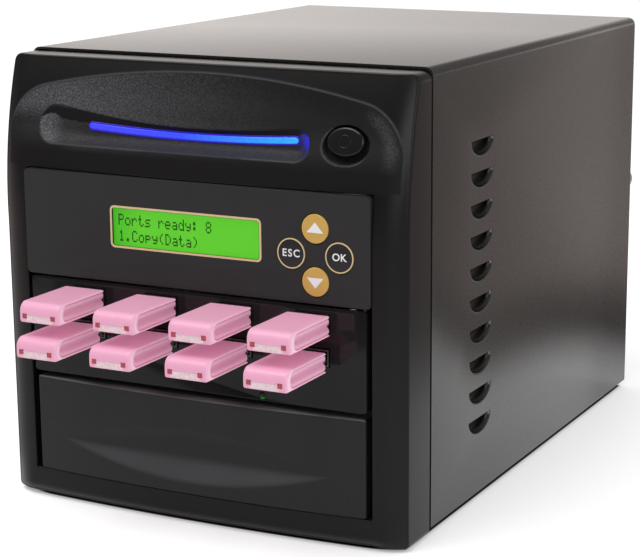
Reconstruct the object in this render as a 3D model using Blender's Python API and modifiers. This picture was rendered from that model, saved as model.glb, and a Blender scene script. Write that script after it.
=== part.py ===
"""USB flash drive duplicator: a three-bay tower with eight drive ports.

Local frame of every piece: X to the right, Y from front to back, Z up.
Y is zero at the seam between the plastic front and the steel cover,
and Z is zero at the cover's lower edge.  One empty carries all pieces,
and moves that frame so that the world origin is on the floor, under the
middle of the whole object.  Lengths are in metres.
"""
import math

import bmesh
import bpy
from mathutils import Matrix, Vector

# Clearances
GAP = 0.0003                    # between pieces that touch
SLIDING_GAP = 0.0003            # round a piece that slides in a hole
OVERRUN = 0.0020                # how far a cutter passes a surface
SMOOTH_ANGLE_DEG = 35.0         # edges flatter than this are shaded smooth
WIDE_ANGLE_DEG = 50.0           # bevels that leave rounded outlines alone

# Steel case
CASE_WIDTH = 0.1743
CASE_HEIGHT = 0.1746            # cover, from its lower edge
CASE_DEPTH = 0.2295             # cover, from the seam to its rear face
SHEET = 0.0010
COVER_CORNER_RADIUS = 0.0034
COVER_REAR_FLANGE = 0.0100
TRAY_DROP = 0.0007              # tray's underside below the cover's edge
TRAY_FLANGE = 0.0100
PANEL_FLANGE = 0.0120

# Louvres in both sides of the cover
LOUVRE_COUNT = 10
LOUVRE_PITCH = 0.01239
LOUVRE_LENGTH = 0.0219
LOUVRE_HEIGHT = 0.0064
LOUVRE_DEPTH = 0.0035
LOUVRE_CENTRE_Y = 0.0470
LOUVRE_TOP_Z = 0.14265          # slit of the highest louvre
LOUVRE_LIP_DROP = 0.0003        # dish rim below the slit

# Plastic front
BEZEL_SIDE_STEP = 0.00025        # front past the cover on each side
BEZEL_TOP_STEP = 0.0013         # front below the cover's top
BEZEL_TOP_RADIUS = 0.0034
BEZEL_FOOT_RADIUS = 0.0010
BEZEL_WALL = 0.0028
SEAM_GROOVE = 0.0013            # shadow groove between front and cover
LIP_INSET = 0.0014              # rear lip inside the outline
LIP_REACH = 0.0050              # rear lip behind the seam
PILLAR_REACH = 0.0258           # face beside the bays, ahead of the seam
CROWN = 0.0030                  # how far the middle bulges past that
CROWN_HALF_WIDTH = 0.0750
EDGE_ROLL = 0.0058              # how far the outer edges fall back
ROLL_POWER = 2.2
ROLL_LOSS_SHARE = 0.5           # of the roll, lost at the top
LEAN_START_Z = 0.1080           # above this the face leans back
LEAN = 0.0123
FOOT_ROLL = 0.0030              # how far the face falls back at its foot
FOOT_ROLL_Z = 0.0040            # up to this height
TOP_SOLID_REACH = 0.0105        # thick top stops this far ahead of the seam
PILLAR_SOLID_REACH = 0.0185

# Opening for the bays
OPENING_WIDTH = 0.1506
OPENING_BOTTOM_Z = 0.0088
OPENING_TOP_Z = 0.1313
OPENING_RADIUS = 0.0022

# Arch-shaped recess above the bays
ARCH_HALF_WIDTH = 0.0820
ARCH_CENTRE_X = 0.0015
ARCH_SPRING_Z = 0.1418
ARCH_RISE = 0.0283
ARCH_POWER = 3.0
ARCH_LEG = 0.0080               # straight part under the spring line
ARCH_DEPTH = 0.0014
ARCH_FADE_START_Z = 0.1380
ARCH_FADE_RISE = 0.0150

# Scooped trough with the light bar
TROUGH_LEFT_X = -0.0595         # centres of the round ends
TROUGH_RIGHT_X = 0.0422
TROUGH_BOTTOM_Z = 0.1404
TROUGH_WAIST_Z = 0.1488         # lowest point of the upper edge
TROUGH_WAIST_X = 0.0068
TROUGH_SAG_RADII = (0.3300, 0.2100)  # of the upper edge, left and right
TROUGH_LEFT_RADIUS = 0.0072
TROUGH_RIGHT_RADIUS = 0.0057
TROUGH_BACK_REACH = 0.0184      # back wall, ahead of the seam
TROUGH_KNEE_SHARE = 0.33        # of the floor's rise, half way back
LIGHT_ARC_RADIUS = 0.4000
LIGHT_LEFT_X = -0.0485
LIGHT_RIGHT_X = 0.0421
LIGHT_LOW_X = 0.0027
LIGHT_LOW_Z = 0.1455
LIGHT_HEIGHT = 0.0030
LIGHT_PROUD = 0.0006
LIGHT_TAIL = 0.0004             # bar behind the thick top

# Oval power button in its well
BUTTON_X = 0.0622
BUTTON_Z = 0.1479
BUTTON_WIDTH = 0.0147
BUTTON_HEIGHT = 0.0107
BUTTON_SUNK = 0.0020
BUTTON_TRAVEL = 0.0016
BUTTON_EDGE = 0.0005
WELL_WIDTH = 0.0194
WELL_HEIGHT = 0.0142
WELL_FLOOR_SHARE = 0.86         # of the rim, at the well's floor
WELL_DEPTH = 0.0034
SWITCH_PLATE = (0.0240, 0.0015, 0.0180)
SWITCH_BODY = (0.0120, 0.0070, 0.0100)

# Bays
BAY_COUNT = 3
BAY_PITCH = 0.0408
BAY_1_Z = 0.1100                # centre height of the highest bay
PANEL_REACH = 0.0262            # flat faces of bays 1 and 2
CAGE_INNER_WIDTH = 0.1474
CAGE_TOP_Z = 0.1334
CAGE_DEPTH = 0.0890
CAGE_SLOT = (0.0120, 0.0036)
CAGE_SLOT_SHARES = (0.25, 0.70)
BRACKET_WALL = 0.0012
BRACKET_END_Y = 0.0620

# Control panel in bay 1
CONTROL_SIZE = (0.1496, 0.0413)
CONTROL_WALL = 0.0024
CONTROL_RADIUS = 0.0018
LCD_X = -0.0026
LCD_Z = 0.1110
LCD_PANE = (0.0649, 0.0009, 0.0162)
LCD_LEDGE = 0.0012              # width of the ledge under the pane
LCD_FRAME = (0.0710, 0.0070, 0.0250)
LCD_BOARD = (0.0800, 0.0016, 0.0360)
KEY_X = 0.05255
KEY_Z = 0.1075
KEY_OFFSET = 0.00985
KEY_RADIUS = 0.0057
KEY_PROUD = 0.0004
KEY_FLANGE_RADIUS = 0.0066
KEY_FLANGE = 0.0010
KEY_STEM_RADIUS = 0.0020
KEY_STEM = 0.0016
KEY_TRAVEL = 0.0007
KEY_EDGE = 0.0003
KEYPAD_SIZE = (0.0308, 0.0016, 0.0330)
KEYPAD_CENTRE_X = 0.0534
TACT_SIZE = (0.0060, 0.0030, 0.0060)
BOSS_RADIUS = 0.0018
BOSS_INSET = 0.0026

# Drive ports in bay 2
PORT_PLATE_SIZE = (0.1459, 0.0385)
PORT_PLATE_WALL = 0.0020
PORT_PLATE_RADIUS = 0.0026
PORT_COLUMNS = 4
PORT_PITCH = 0.0324
PORT_FIELD_X = 0.0023
PORT_ROWS_Z = (0.0825, 0.0695)
PORT_OUTER = (0.0139, 0.0064)
PORT_WALL = 0.0006
PORT_PROUD = 0.0006
PORT_LENGTH = 0.0140
PORT_CUT_GAP = 0.0004
HUB_SIZE = (0.1400, 0.0016, 0.0350)
HUB_Z = 0.0692
LED_X = 0.0296
LED_RADIUS = 0.0012
LED_LENGTH = 0.0050
LED_EDGE_MARGIN = 0.0004        # plate left under the light

# Flash drives
DRIVE_SIZE = (0.0178, 0.0293, 0.0077)
DRIVE_STANDOFF = 0.0036         # body ahead of the port plate, upper row
DRIVE_SHORTFALL = 0.0031        # lower row stands out this much more
DRIVE_NOSE_TOP_RADIUS = 0.0034
DRIVE_NOSE_FOOT_RADIUS = 0.0018
DRIVE_RIM = 0.0008
DRIVE_SIDE_RECESS = 0.0007
DRIVE_GROOVE = 0.0007
DRIVE_WINDOW = (0.0128, 0.0006, 0.0026)
DRIVE_WINDOW_RISE = 0.0022      # window centre above the body's underside
DRIVE_PLAN_RADIUS = 0.0009
PLUG_SIZE = (0.0120, 0.0045)
PLUG_INSERTED = 0.0118          # in the port, upper row
PLUG_EDGE = 0.0004

# Blank cover in bay 3
BLANK_SIZE = (0.1448, 0.0384)
BLANK_CROWN = 0.0034
BLANK_DEPTH = 0.0130            # of the side walls
BLANK_WALL = 0.0022
BLANK_EDGE = 0.0009
BLANK_CAVITY_REACH = 0.0180
BLANK_ARM = (0.0320, 0.0160)     # length and height
SCOOP_X = -0.0017
SCOOP_DROP = 0.0047             # scoop centre below the bay's centre
SCOOP_HALF_LENGTH = 0.0600
SCOOP_HALF_HEIGHT = 0.0101
SCOOP_DEPTH = 0.0040

# Power supply and rear
SUPPLY_DEPTH = 0.1250
SUPPLY_HEIGHT = 0.0860
SUPPLY_SIDE_SPACE = 0.00955     # beside it, to the case's inner sheets
SUPPLY_WALL = 0.0012
FAN_MARGIN = 0.0030             # housing above and below the fan
FAN_SIDE_MARGIN = 0.0040        # housing beside it
FAN_THICK = 0.0200
FAN_RIM = 0.0020                # frame round the bore
FAN_HUB_RADIUS = 0.0150
FAN_BLADE_COUNT = 7
FAN_BLADE_ROOT = 0.0020         # of a blade inside the hub
FAN_BLADE = (0.0012, 0.0110)    # thickness and chord
FAN_BLADE_PITCH_DEG = 38.0
FAN_TIP_GAP = 0.0010
FAN_STRUT = 0.0040
FAN_STRUT_THICK = 0.0030
GUARD_WIRE_RADIUS = 0.0009
GUARD_RING_SHARES = (0.26, 0.50, 0.74, 0.98)
GUARD_SPOKE_OVERLAP = 0.0060    # spokes past the bore
INLET_INSET = 0.0300            # from the housing's side
INLET_RISE = 0.0164             # above the housing's middle
INLET_FLANGE = (0.0300, 0.0024, 0.0230)
INLET_BODY = (0.0270, 0.0180, 0.0200)
INLET_WELL = (0.0235, 0.0150, 0.0165)
INLET_PIN = (0.0020, 0.0120, 0.0040)
INLET_PIN_SPREAD = 0.0070
INLET_PIN_STEP = 0.0040
MAINS_DROP = 0.0146             # below the housing's middle
MAINS_FLANGE = (0.0210, 0.0020, 0.0150)
MAINS_BODY = (0.0190, 0.0140, 0.0128)
MAINS_ROCKER = (0.0145, 0.0070, 0.0090)
MAINS_TILT_DEG = 9.0
REAR_WINDOW_MARGIN = 0.0050
VENT_COUNT = 10
VENT_WIDTH = 0.0034
VENT_PITCH = 0.0130
VENT_HEIGHT_SHARE = 0.273       # of the height over the supply
VENT_ROW_SHARES = (0.249, 0.630)
SCREW_INSET = 0.00565           # from the cover's side
SCREW_HEIGHT_SHARE = 0.5613     # of the case
SCREW_HEAD_RADIUS = 0.0050
SCREW_HEAD = 0.0060
SCREW_SHANK_RADIUS = 0.0016
SCREW_SHANK = 0.0060
SCREW_HOLE_GAP = 0.0005

# Controller board on the tray
CONTROLLER_SIZE = (0.1200, 0.0660, 0.0016)
CONTROLLER_Y = 0.0560
CONTROLLER_STANDOFF = 0.0060
CONTROLLER_POST_RADIUS = 0.0030
CONTROLLER_POST_INSET = 0.0060
CHIP_SIZE = (0.0240, 0.0240, 0.0030)
SOCKET_STRIP = (0.0900, 0.0070, 0.0090)

# Feet
FOOT_RADIUS = 0.0080
FOOT_HEIGHT = 0.0022
FOOT_INSET = 0.01915            # from the cover's side
FOOT_FRONT_Y = 0.0180
FOOT_REAR_INSET = 0.0215
FOOT_EDGE = 0.0006

# Overall reach before and behind the seam
BODY_REACH = PANEL_REACH + DRIVE_STANDOFF + DRIVE_SHORTFALL + DRIVE_SIZE[1]
REAR_REACH = CASE_DEPTH + GAP + SCREW_HEAD
ORIGIN_Y = (BODY_REACH - REAR_REACH) / 2
ORIGIN_Z = TRAY_DROP + GAP + FOOT_HEIGHT
BEZEL_WIDTH = CASE_WIDTH + 2 * BEZEL_SIDE_STEP
BEZEL_HEIGHT = CASE_HEIGHT - BEZEL_TOP_STEP
LEAN_RISE = BEZEL_HEIGHT - LEAN_START_Z
CASE_INNER_HALF = CASE_WIDTH / 2 - SHEET
TRAY_HALF = CASE_INNER_HALF - GAP
INNER_HALF = TRAY_HALF - SHEET - GAP
TRAY_TOP_Z = SHEET - TRAY_DROP
REAR_PANEL_Y = CASE_DEPTH - SHEET - GAP
SUPPLY_REAR_Y = REAR_PANEL_Y - SHEET - GAP
SUPPLY_BOTTOM_Z = TRAY_TOP_Z + GAP
SUPPLY_MIDDLE_Z = SUPPLY_BOTTOM_Z + SUPPLY_HEIGHT / 2
SUPPLY_TOP_Z = SUPPLY_BOTTOM_Z + SUPPLY_HEIGHT
SUPPLY_HALF = INNER_HALF - SUPPLY_SIDE_SPACE
FAN_SIDE = SUPPLY_HEIGHT - 2 * FAN_MARGIN
FAN_X = SUPPLY_HALF - FAN_SIDE_MARGIN - FAN_SIDE / 2
FAN_BORE_RADIUS = FAN_SIDE / 2 - FAN_RIM
INLET_X = INLET_INSET - SUPPLY_HALF
INLET_Z = SUPPLY_MIDDLE_Z + INLET_RISE
MAINS_Z = SUPPLY_MIDDLE_Z - MAINS_DROP
SCREW_X = CASE_WIDTH / 2 - SCREW_INSET
SCREW_Z = CASE_HEIGHT * SCREW_HEIGHT_SHARE
FOOT_X = CASE_WIDTH / 2 - FOOT_INSET
FOOT_Y = (FOOT_FRONT_Y, CASE_DEPTH - FOOT_REAR_INSET)
FRAME_FRONT_Y = LIP_REACH + GAP
CAGE_FRONT_Y = FRAME_FRONT_Y + SHEET + GAP

PARTS = None
CUTTERS = None
ROOT = None


def clear_scene():
    """Remove every object, so that the script can be run again."""
    for item in list(bpy.data.objects):
        bpy.data.objects.remove(item, do_unlink=True)


def make_collections():
    """Make the collections for the pieces and for their cutters."""
    global PARTS, CUTTERS, ROOT
    PARTS = bpy.data.collections.new("usb_flash_drive_duplicator")
    CUTTERS = bpy.data.collections.new("cutters")
    bpy.context.scene.collection.children.link(PARTS)
    bpy.context.scene.collection.children.link(CUTTERS)
    ROOT = bpy.data.objects.new("duplicator_origin", None)
    ROOT.location = (0, ORIGIN_Y, ORIGIN_Z)
    PARTS.objects.link(ROOT)


def material(name, colour, roughness, metallic=0.0, glow=0.0):
    """Return a Principled material with the part's colour and gloss."""
    result = bpy.data.materials.new(name)
    result.use_nodes = True
    shader = result.node_tree.nodes["Principled BSDF"]
    shader.inputs["Base Color"].default_value = (*colour, 1.0)
    shader.inputs["Roughness"].default_value = roughness
    shader.inputs["Metallic"].default_value = metallic
    shader.inputs["Emission Color"].default_value = (*colour, 1.0)
    shader.inputs["Emission Strength"].default_value = glow
    return result


def place(mesh_or_curve, name, look=None, location=(0, 0, 0)):
    """Link new data as a named piece, or as a cutter when it has no look."""
    item = bpy.data.objects.new(name, mesh_or_curve)
    item.location = location
    item.parent = ROOT
    if look is None:
        CUTTERS.objects.link(item)
        item.display_type = "WIRE"
        item.hide_render = True
    else:
        PARTS.objects.link(item)
        mesh_or_curve.materials.append(look)
    return item


def to_mesh(bm, name):
    """Turn a bmesh into a mesh with sound normals."""
    bmesh.ops.recalc_face_normals(bm, faces=bm.faces)
    mesh = bpy.data.meshes.new(name)
    bm.to_mesh(mesh)
    bm.free()
    return mesh


def add_box(bm, size, centre):
    """Add a box of the given size to a bmesh."""
    matrix = Matrix.Translation(centre) @ Matrix.Diagonal((*size, 1.0))
    return bmesh.ops.create_cube(bm, size=1.0, matrix=matrix)["verts"]


def add_span(bm, low, high):
    """Add a box between two opposite corners to a bmesh."""
    size = [b - a for a, b in zip(low, high)]
    centre = [(a + b) / 2 for a, b in zip(low, high)]
    return add_box(bm, size, centre)


def add_round(bm, radius, length, centre, direction, segments, radius_end=None, flatten=1.0):
    """Add a cylinder or cone along a direction; flatten makes it oval in local Y."""
    turn = Vector((0, 0, 1)).rotation_difference(Vector(direction)).to_matrix().to_4x4()
    matrix = Matrix.Translation(centre) @ turn @ Matrix.Diagonal((1.0, flatten, 1.0, 1.0))
    end = radius if radius_end is None else radius_end
    bmesh.ops.create_cone(bm, cap_ends=True, segments=segments, radius1=radius,
                          radius2=end, depth=length, matrix=matrix)


def boxes_mesh(name, spans):
    """Return one mesh with a box for each pair of corners."""
    bm = bmesh.new()
    for low, high in spans:
        add_span(bm, low, high)
    return to_mesh(bm, name)


def block(name, look, size, centre):
    """Make a box piece whose origin is its centre."""
    bm = bmesh.new()
    add_box(bm, size, (0, 0, 0))
    return place(to_mesh(bm, name), name, look, centre)


def boolean(target, tool, operation):
    """Cut, join or intersect a piece with another shape."""
    step = target.modifiers.new(operation.lower(), "BOOLEAN")
    step.operation = operation
    step.object = tool
    return step


def cut(target, mesh):
    """Cut a mesh, given in the local frame of the whole object, out of a piece."""
    return boolean(target, place(mesh, target.name + "_cut"), "DIFFERENCE")


def join(target, mesh):
    """Fuse a mesh, given in the local frame of the whole object, to a piece."""
    return boolean(target, place(mesh, target.name + "_join"), "UNION")


def bevel(item, width, segments=2, angle_deg=40.0):
    """Round the sharp edges of a piece."""
    step = item.modifiers.new("edges", "BEVEL")
    step.width = width
    step.segments = segments
    step.limit_method = "ANGLE"
    step.angle_limit = math.radians(angle_deg)
    return step


def outline_mesh(name, loops, thickness):
    """Extrude flat outlines, drawn in XY, to a slab that is centred on its plane."""
    curve = bpy.data.curves.new(name, "CURVE")
    curve.dimensions = "2D"
    curve.fill_mode = "BOTH"
    curve.extrude = thickness / 2
    for points in loops:
        spline = curve.splines.new("POLY")
        spline.points.add(len(points) - 1)
        for target, point in zip(spline.points, points):
            target.co = (point[0], point[1], 0, 1)
        spline.use_cyclic_u = True
    holder = bpy.data.objects.new(name, curve)
    bpy.context.scene.collection.objects.link(holder)
    graph = bpy.context.evaluated_depsgraph_get()
    mesh = bpy.data.meshes.new_from_object(holder.evaluated_get(graph))
    bpy.data.objects.remove(holder, do_unlink=True)
    bpy.data.curves.remove(curve)
    bm = bmesh.new()
    bm.from_mesh(mesh)
    bmesh.ops.remove_doubles(bm, verts=bm.verts, dist=OVERRUN / 1000)
    bmesh.ops.recalc_face_normals(bm, faces=bm.faces)
    bm.to_mesh(mesh)
    bm.free()
    return mesh


def face_slab(name, loops, y_front, y_rear):
    """Extrude outlines drawn in X and Z from one Y to another."""
    mesh = outline_mesh(name, loops, y_rear - y_front)
    mesh.transform(Matrix.Rotation(math.pi / 2, 4, "X"))
    mesh.transform(Matrix.Translation((0, (y_front + y_rear) / 2, 0)))
    return mesh


def plan_slab(name, loops, z_low, z_high):
    """Extrude outlines drawn in X and Y from one Z to another."""
    mesh = outline_mesh(name, loops, z_high - z_low)
    mesh.transform(Matrix.Translation((0, 0, (z_low + z_high) / 2)))
    return mesh


def side_slab(name, loops, x_left, x_right):
    """Extrude outlines drawn in Y and Z from one X to another."""
    mesh = outline_mesh(name, loops, x_right - x_left)
    to_side = Matrix(((0, 0, 1, 0), (1, 0, 0, 0), (0, 1, 0, 0), (0, 0, 0, 1)))
    mesh.transform(to_side)
    mesh.transform(Matrix.Translation(((x_left + x_right) / 2, 0, 0)))
    return mesh


def arc(centre, radius, start_deg, end_deg, steps):
    """Points along an arc, both ends included."""
    angles = [math.radians(start_deg + (end_deg - start_deg) * i / steps) for i in range(steps + 1)]
    return [(centre[0] + radius * math.cos(a), centre[1] + radius * math.sin(a)) for a in angles]


def rounded_rectangle(x_low, x_high, z_low, z_high, low_radius, high_radius, steps=4):
    """Outline of a rectangle whose lower and upper corners have their own radii."""
    points = arc((x_low + low_radius, z_low + low_radius), low_radius, 180, 270, steps)
    points += arc((x_high - low_radius, z_low + low_radius), low_radius, 270, 360, steps)
    points += arc((x_high - high_radius, z_high - high_radius), high_radius, 0, 90, steps)
    points += arc((x_low + high_radius, z_high - high_radius), high_radius, 90, 180, steps)
    return points


def folded_sheet(name, look, outline, run, thickness):
    """Bend a sheet: an open outline of 3D points, swept along a vector."""
    bm = bmesh.new()
    first = [bm.verts.new(point) for point in outline]
    second = [bm.verts.new(Vector(point) + Vector(run)) for point in outline]
    for i in range(len(outline) - 1):
        bm.faces.new((first[i], first[i + 1], second[i + 1], second[i]))
    mesh = bpy.data.meshes.new(name)
    bm.to_mesh(mesh)
    bm.free()
    item = place(mesh, name, look)
    solid = item.modifiers.new("sheet", "SOLIDIFY")
    solid.thickness = thickness
    solid.offset = -1
    solid.use_even_offset = True
    return item


def turned(name, look, profile, location, direction, segments):
    """Turn a profile of (radius, height) points about its axis."""
    bm = bmesh.new()
    points = [bm.verts.new((radius, 0, height)) for radius, height in profile]
    for i in range(len(points) - 1):
        bm.edges.new((points[i], points[i + 1]))
    mesh = bpy.data.meshes.new(name)
    bm.to_mesh(mesh)
    bm.free()
    item = place(mesh, name, look, location)
    item.rotation_mode = "QUATERNION"
    item.rotation_quaternion = Vector((0, 0, 1)).rotation_difference(Vector(direction))
    spin = item.modifiers.new("turn", "SCREW")
    spin.steps = segments
    spin.render_steps = segments
    spin.use_merge_vertices = True
    spin.merge_threshold = OVERRUN / 1000
    spin.use_smooth_shade = False
    return item


# Plastic front

def lean_share(z):
    """How far up the leaning part a height lies, from 0 to 1."""
    return min(max((z - LEAN_START_Z) / LEAN_RISE, 0.0), 1.0)


def face_y(x, z):
    """Y of the plastic front's face at a place on it."""
    lean = lean_share(z)
    side = abs(x)
    inside = min(side / CROWN_HALF_WIDTH, 1.0)
    crown = CROWN * (1 - inside ** 2) * (1 - lean)
    outside = max(side - CROWN_HALF_WIDTH, 0.0) / (BEZEL_WIDTH / 2 - CROWN_HALF_WIDTH)
    roll = EDGE_ROLL * outside ** ROLL_POWER * (1 - ROLL_LOSS_SHARE * lean)
    foot = FOOT_ROLL * (max(FOOT_ROLL_Z - z, 0.0) / FOOT_ROLL_Z) ** 2 * (1 - outside)
    return -(PILLAR_REACH + crown - roll - foot - LEAN * lean ** 2)


def lean_angle(z):
    """Angle by which the face leans back from the vertical at a height."""
    return math.atan(2 * LEAN * lean_share(z) / LEAN_RISE)


def relief_solid(name, columns, rows, front, y_back):
    """Solid between a formed face, given as a function of X and Z, and a flat back."""
    bm = bmesh.new()
    grid = [[bm.verts.new((x, front(x, z), z)) for x in columns] for z in rows]
    flat = [[bm.verts.new((x, y_back, z)) for x in columns] for z in rows]
    last_row = len(rows) - 1
    last_column = len(columns) - 1
    for r in range(last_row):
        for c in range(last_column):
            bm.faces.new((grid[r][c], grid[r][c + 1], grid[r + 1][c + 1], grid[r + 1][c]))
    for c in range(last_column):
        for r in (0, last_row):
            bm.faces.new((grid[r][c], grid[r][c + 1], flat[r][c + 1], flat[r][c]))
    for r in range(last_row):
        for c in (0, last_column):
            bm.faces.new((grid[r][c], grid[r + 1][c], flat[r + 1][c], flat[r][c]))
    rim = flat[0] + [row[-1] for row in flat[1:]] + flat[-1][-2::-1] + [row[0] for row in flat[-2:0:-1]]
    inner = [vert for row in flat[1:-1] for vert in row[1:-1]]
    for vert in inner:
        bm.verts.remove(vert)
    bm.faces.new(rim)
    return to_mesh(bm, name)


def arch_outline():
    """Superellipse arch on two straight legs."""
    steps = 24
    points = []
    for i in range(steps + 1):
        angle = math.pi * i / steps
        across = math.copysign(abs(math.cos(angle)) ** (2 / ARCH_POWER), math.cos(angle))
        up = math.sin(angle) ** (2 / ARCH_POWER) if 0 < i < steps else 0.0
        points.append((ARCH_CENTRE_X + ARCH_HALF_WIDTH * across, ARCH_SPRING_Z + ARCH_RISE * up))
    foot_z = ARCH_SPRING_Z - ARCH_LEG
    points.append((ARCH_CENTRE_X - ARCH_HALF_WIDTH, foot_z))
    points.append((ARCH_CENTRE_X + ARCH_HALF_WIDTH, foot_z))
    return points


def arch_floor_y(x, z):
    """Floor of the arch recess, which runs out to the face near the bays."""
    fade = min((z - ARCH_FADE_START_Z) / ARCH_FADE_RISE, 1.0)
    return face_y(x, z) + ARCH_DEPTH * fade


def trough_outline():
    """Round ends, a flat lower edge and an upper edge that sags like the light bar."""
    left_z = TROUGH_BOTTOM_Z + TROUGH_LEFT_RADIUS
    right_z = TROUGH_BOTTOM_Z + TROUGH_RIGHT_RADIUS
    points = arc((TROUGH_LEFT_X, left_z), TROUGH_LEFT_RADIUS, 270, 90, 8)
    steps = 10
    for i in range(1, steps):
        x = TROUGH_LEFT_X + (TROUGH_RIGHT_X - TROUGH_LEFT_X) * i / steps
        sag = TROUGH_SAG_RADII[0] if x < TROUGH_WAIST_X else TROUGH_SAG_RADII[1]
        points.append((x, TROUGH_WAIST_Z + (x - TROUGH_WAIST_X) ** 2 / (2 * sag)))
    points += arc((TROUGH_RIGHT_X, right_z), TROUGH_RIGHT_RADIUS, 90, -90, 8)
    return points


def trough_profile():
    """Side view of the trough: a scooped floor that rises to the back wall."""
    front = -(PILLAR_REACH + CROWN + OVERRUN)
    back = -TROUGH_BACK_REACH
    lip = (BUTTON_Z - TROUGH_BOTTOM_Z) / 2
    top = TROUGH_BOTTOM_Z + 2 * TROUGH_LEFT_RADIUS + OVERRUN
    bottom = TROUGH_BOTTOM_Z - OVERRUN
    edge = face_y(0, TROUGH_BOTTOM_Z)
    half = (edge + back) / 2
    return [(front, bottom), (edge, bottom), (edge, TROUGH_BOTTOM_Z),
            (half, TROUGH_BOTTOM_Z + lip * TROUGH_KNEE_SHARE), (back, TROUGH_BOTTOM_Z + lip),
            (back, top), (front, top)]


def light_outline(grow):
    """Band with round ends that follows the light bar's arc."""
    end = LIGHT_HEIGHT / 2
    half = end + grow
    steps = 12
    upper = []
    lower = []
    for i in range(steps + 1):
        x = LIGHT_LEFT_X + end + (LIGHT_RIGHT_X - LIGHT_LEFT_X - 2 * end) * i / steps
        z = LIGHT_LOW_Z + (x - LIGHT_LOW_X) ** 2 / (2 * LIGHT_ARC_RADIUS)
        upper.append((x, z + half))
        lower.append((x, z - half))
    right = (upper[-1][0], upper[-1][1] - half)
    left = (upper[0][0], upper[0][1] - half)
    points = upper + arc(right, half, 90, -90, 6)[1:-1]
    points += lower[::-1] + arc(left, half, 270, 90, 6)[1:-1]
    return points


def mirrored(shares, half):
    """Places on both sides of zero, from shares of a half width."""
    right = [half * share for share in shares]
    return [-x for x in reversed(right) if x > 0] + right


def build_bezel(look):
    """The moulded front: a crowned, leaning face with its openings and recesses."""
    half = BEZEL_WIDTH / 2
    column_shares = (0.0, 0.25, 0.5, 0.7, 0.86, 0.92, 0.96, 0.985, 1.03)
    row_shares = (-0.02, 0.0, 0.008, 0.016, 0.024, 0.62, 0.70, 0.78, 0.86, 0.93, 1.02)
    columns = mirrored(column_shares, half)
    rows = [BEZEL_HEIGHT * share for share in row_shares]
    form = relief_solid("front_bezel", columns, rows, face_y, OVERRUN)
    bezel = place(form, "front_bezel", look)
    outline = rounded_rectangle(-half, half, 0, BEZEL_HEIGHT, BEZEL_FOOT_RADIUS, BEZEL_TOP_RADIUS)
    front = -(PILLAR_REACH + CROWN + OVERRUN)
    limits = face_slab("bezel_limits", [outline], front, -SEAM_GROOVE)
    boolean(bezel, place(limits, "bezel_limits"), "INTERSECT")
    lip_half = half - LIP_INSET
    lip = rounded_rectangle(-lip_half, lip_half, LIP_INSET, BEZEL_HEIGHT - LIP_INSET,
                            BEZEL_FOOT_RADIUS, BEZEL_TOP_RADIUS - LIP_INSET)
    join(bezel, face_slab("bezel_lip", [lip], -SEAM_GROOVE - OVERRUN, LIP_REACH))
    opening = rounded_rectangle(-OPENING_WIDTH / 2, OPENING_WIDTH / 2, OPENING_BOTTOM_Z, OPENING_TOP_Z,
                                OPENING_RADIUS, OPENING_RADIUS)
    rear = LIP_REACH + OVERRUN
    cut(bezel, face_slab("bay_opening", [opening], front, rear))
    cut(bezel, boxes_mesh("bezel_hollows", bezel_hollows(half, rear)))
    cut_arch(bezel, columns, front)
    cut_trough(bezel, front)
    cut(bezel, face_slab("light_slot", [light_outline(SLIDING_GAP)], front, rear))
    cut_button_well(bezel)
    return bezel


def bezel_hollows(half, rear):
    """Hollows behind the face: above the bays, beside them and below."""
    wall_in = OPENING_WIDTH / 2 + BEZEL_WALL
    wall_out = half - BEZEL_WALL
    top = BEZEL_HEIGHT - BEZEL_WALL
    shelf = OPENING_TOP_Z + BEZEL_WALL
    spans = [((-wall_out, -TOP_SOLID_REACH, shelf), (wall_out, rear, top))]
    for side in (-1, 1):
        near, far = sorted((side * wall_in, side * wall_out))
        spans.append(((near, -PILLAR_SOLID_REACH, BEZEL_WALL), (far, rear, shelf - BEZEL_WALL)))
    return spans


def cut_arch(bezel, columns, front):
    """Sink the arch-shaped recess into the face."""
    foot = ARCH_SPRING_Z - ARCH_LEG - OVERRUN
    crest = ARCH_SPRING_Z + ARCH_RISE + OVERRUN
    rows = [foot + (crest - foot) * i / 5 for i in range(6)]
    floor = place(relief_solid("arch_floor", columns, rows, arch_floor_y, front), "arch_floor")
    limits = place(face_slab("arch_limits", [arch_outline()], front - OVERRUN, 0), "arch_limits")
    boolean(floor, limits, "INTERSECT")
    boolean(bezel, floor, "DIFFERENCE")


def cut_trough(bezel, front):
    """Scoop the trough out of the face."""
    half = BEZEL_WIDTH / 2
    scoop = place(side_slab("trough_scoop", [trough_profile()], -half, half), "trough_scoop")
    limits = place(face_slab("trough_limits", [trough_outline()], front - OVERRUN, 0), "trough_limits")
    boolean(scoop, limits, "INTERSECT")
    boolean(bezel, scoop, "DIFFERENCE")


def button_frame():
    """Centre of the button on the face, and the outward direction there."""
    tilt = lean_angle(BUTTON_Z)
    centre = Vector((BUTTON_X, face_y(BUTTON_X, BUTTON_Z), BUTTON_Z))
    return centre, Vector((0, -math.cos(tilt), math.sin(tilt)))


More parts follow.
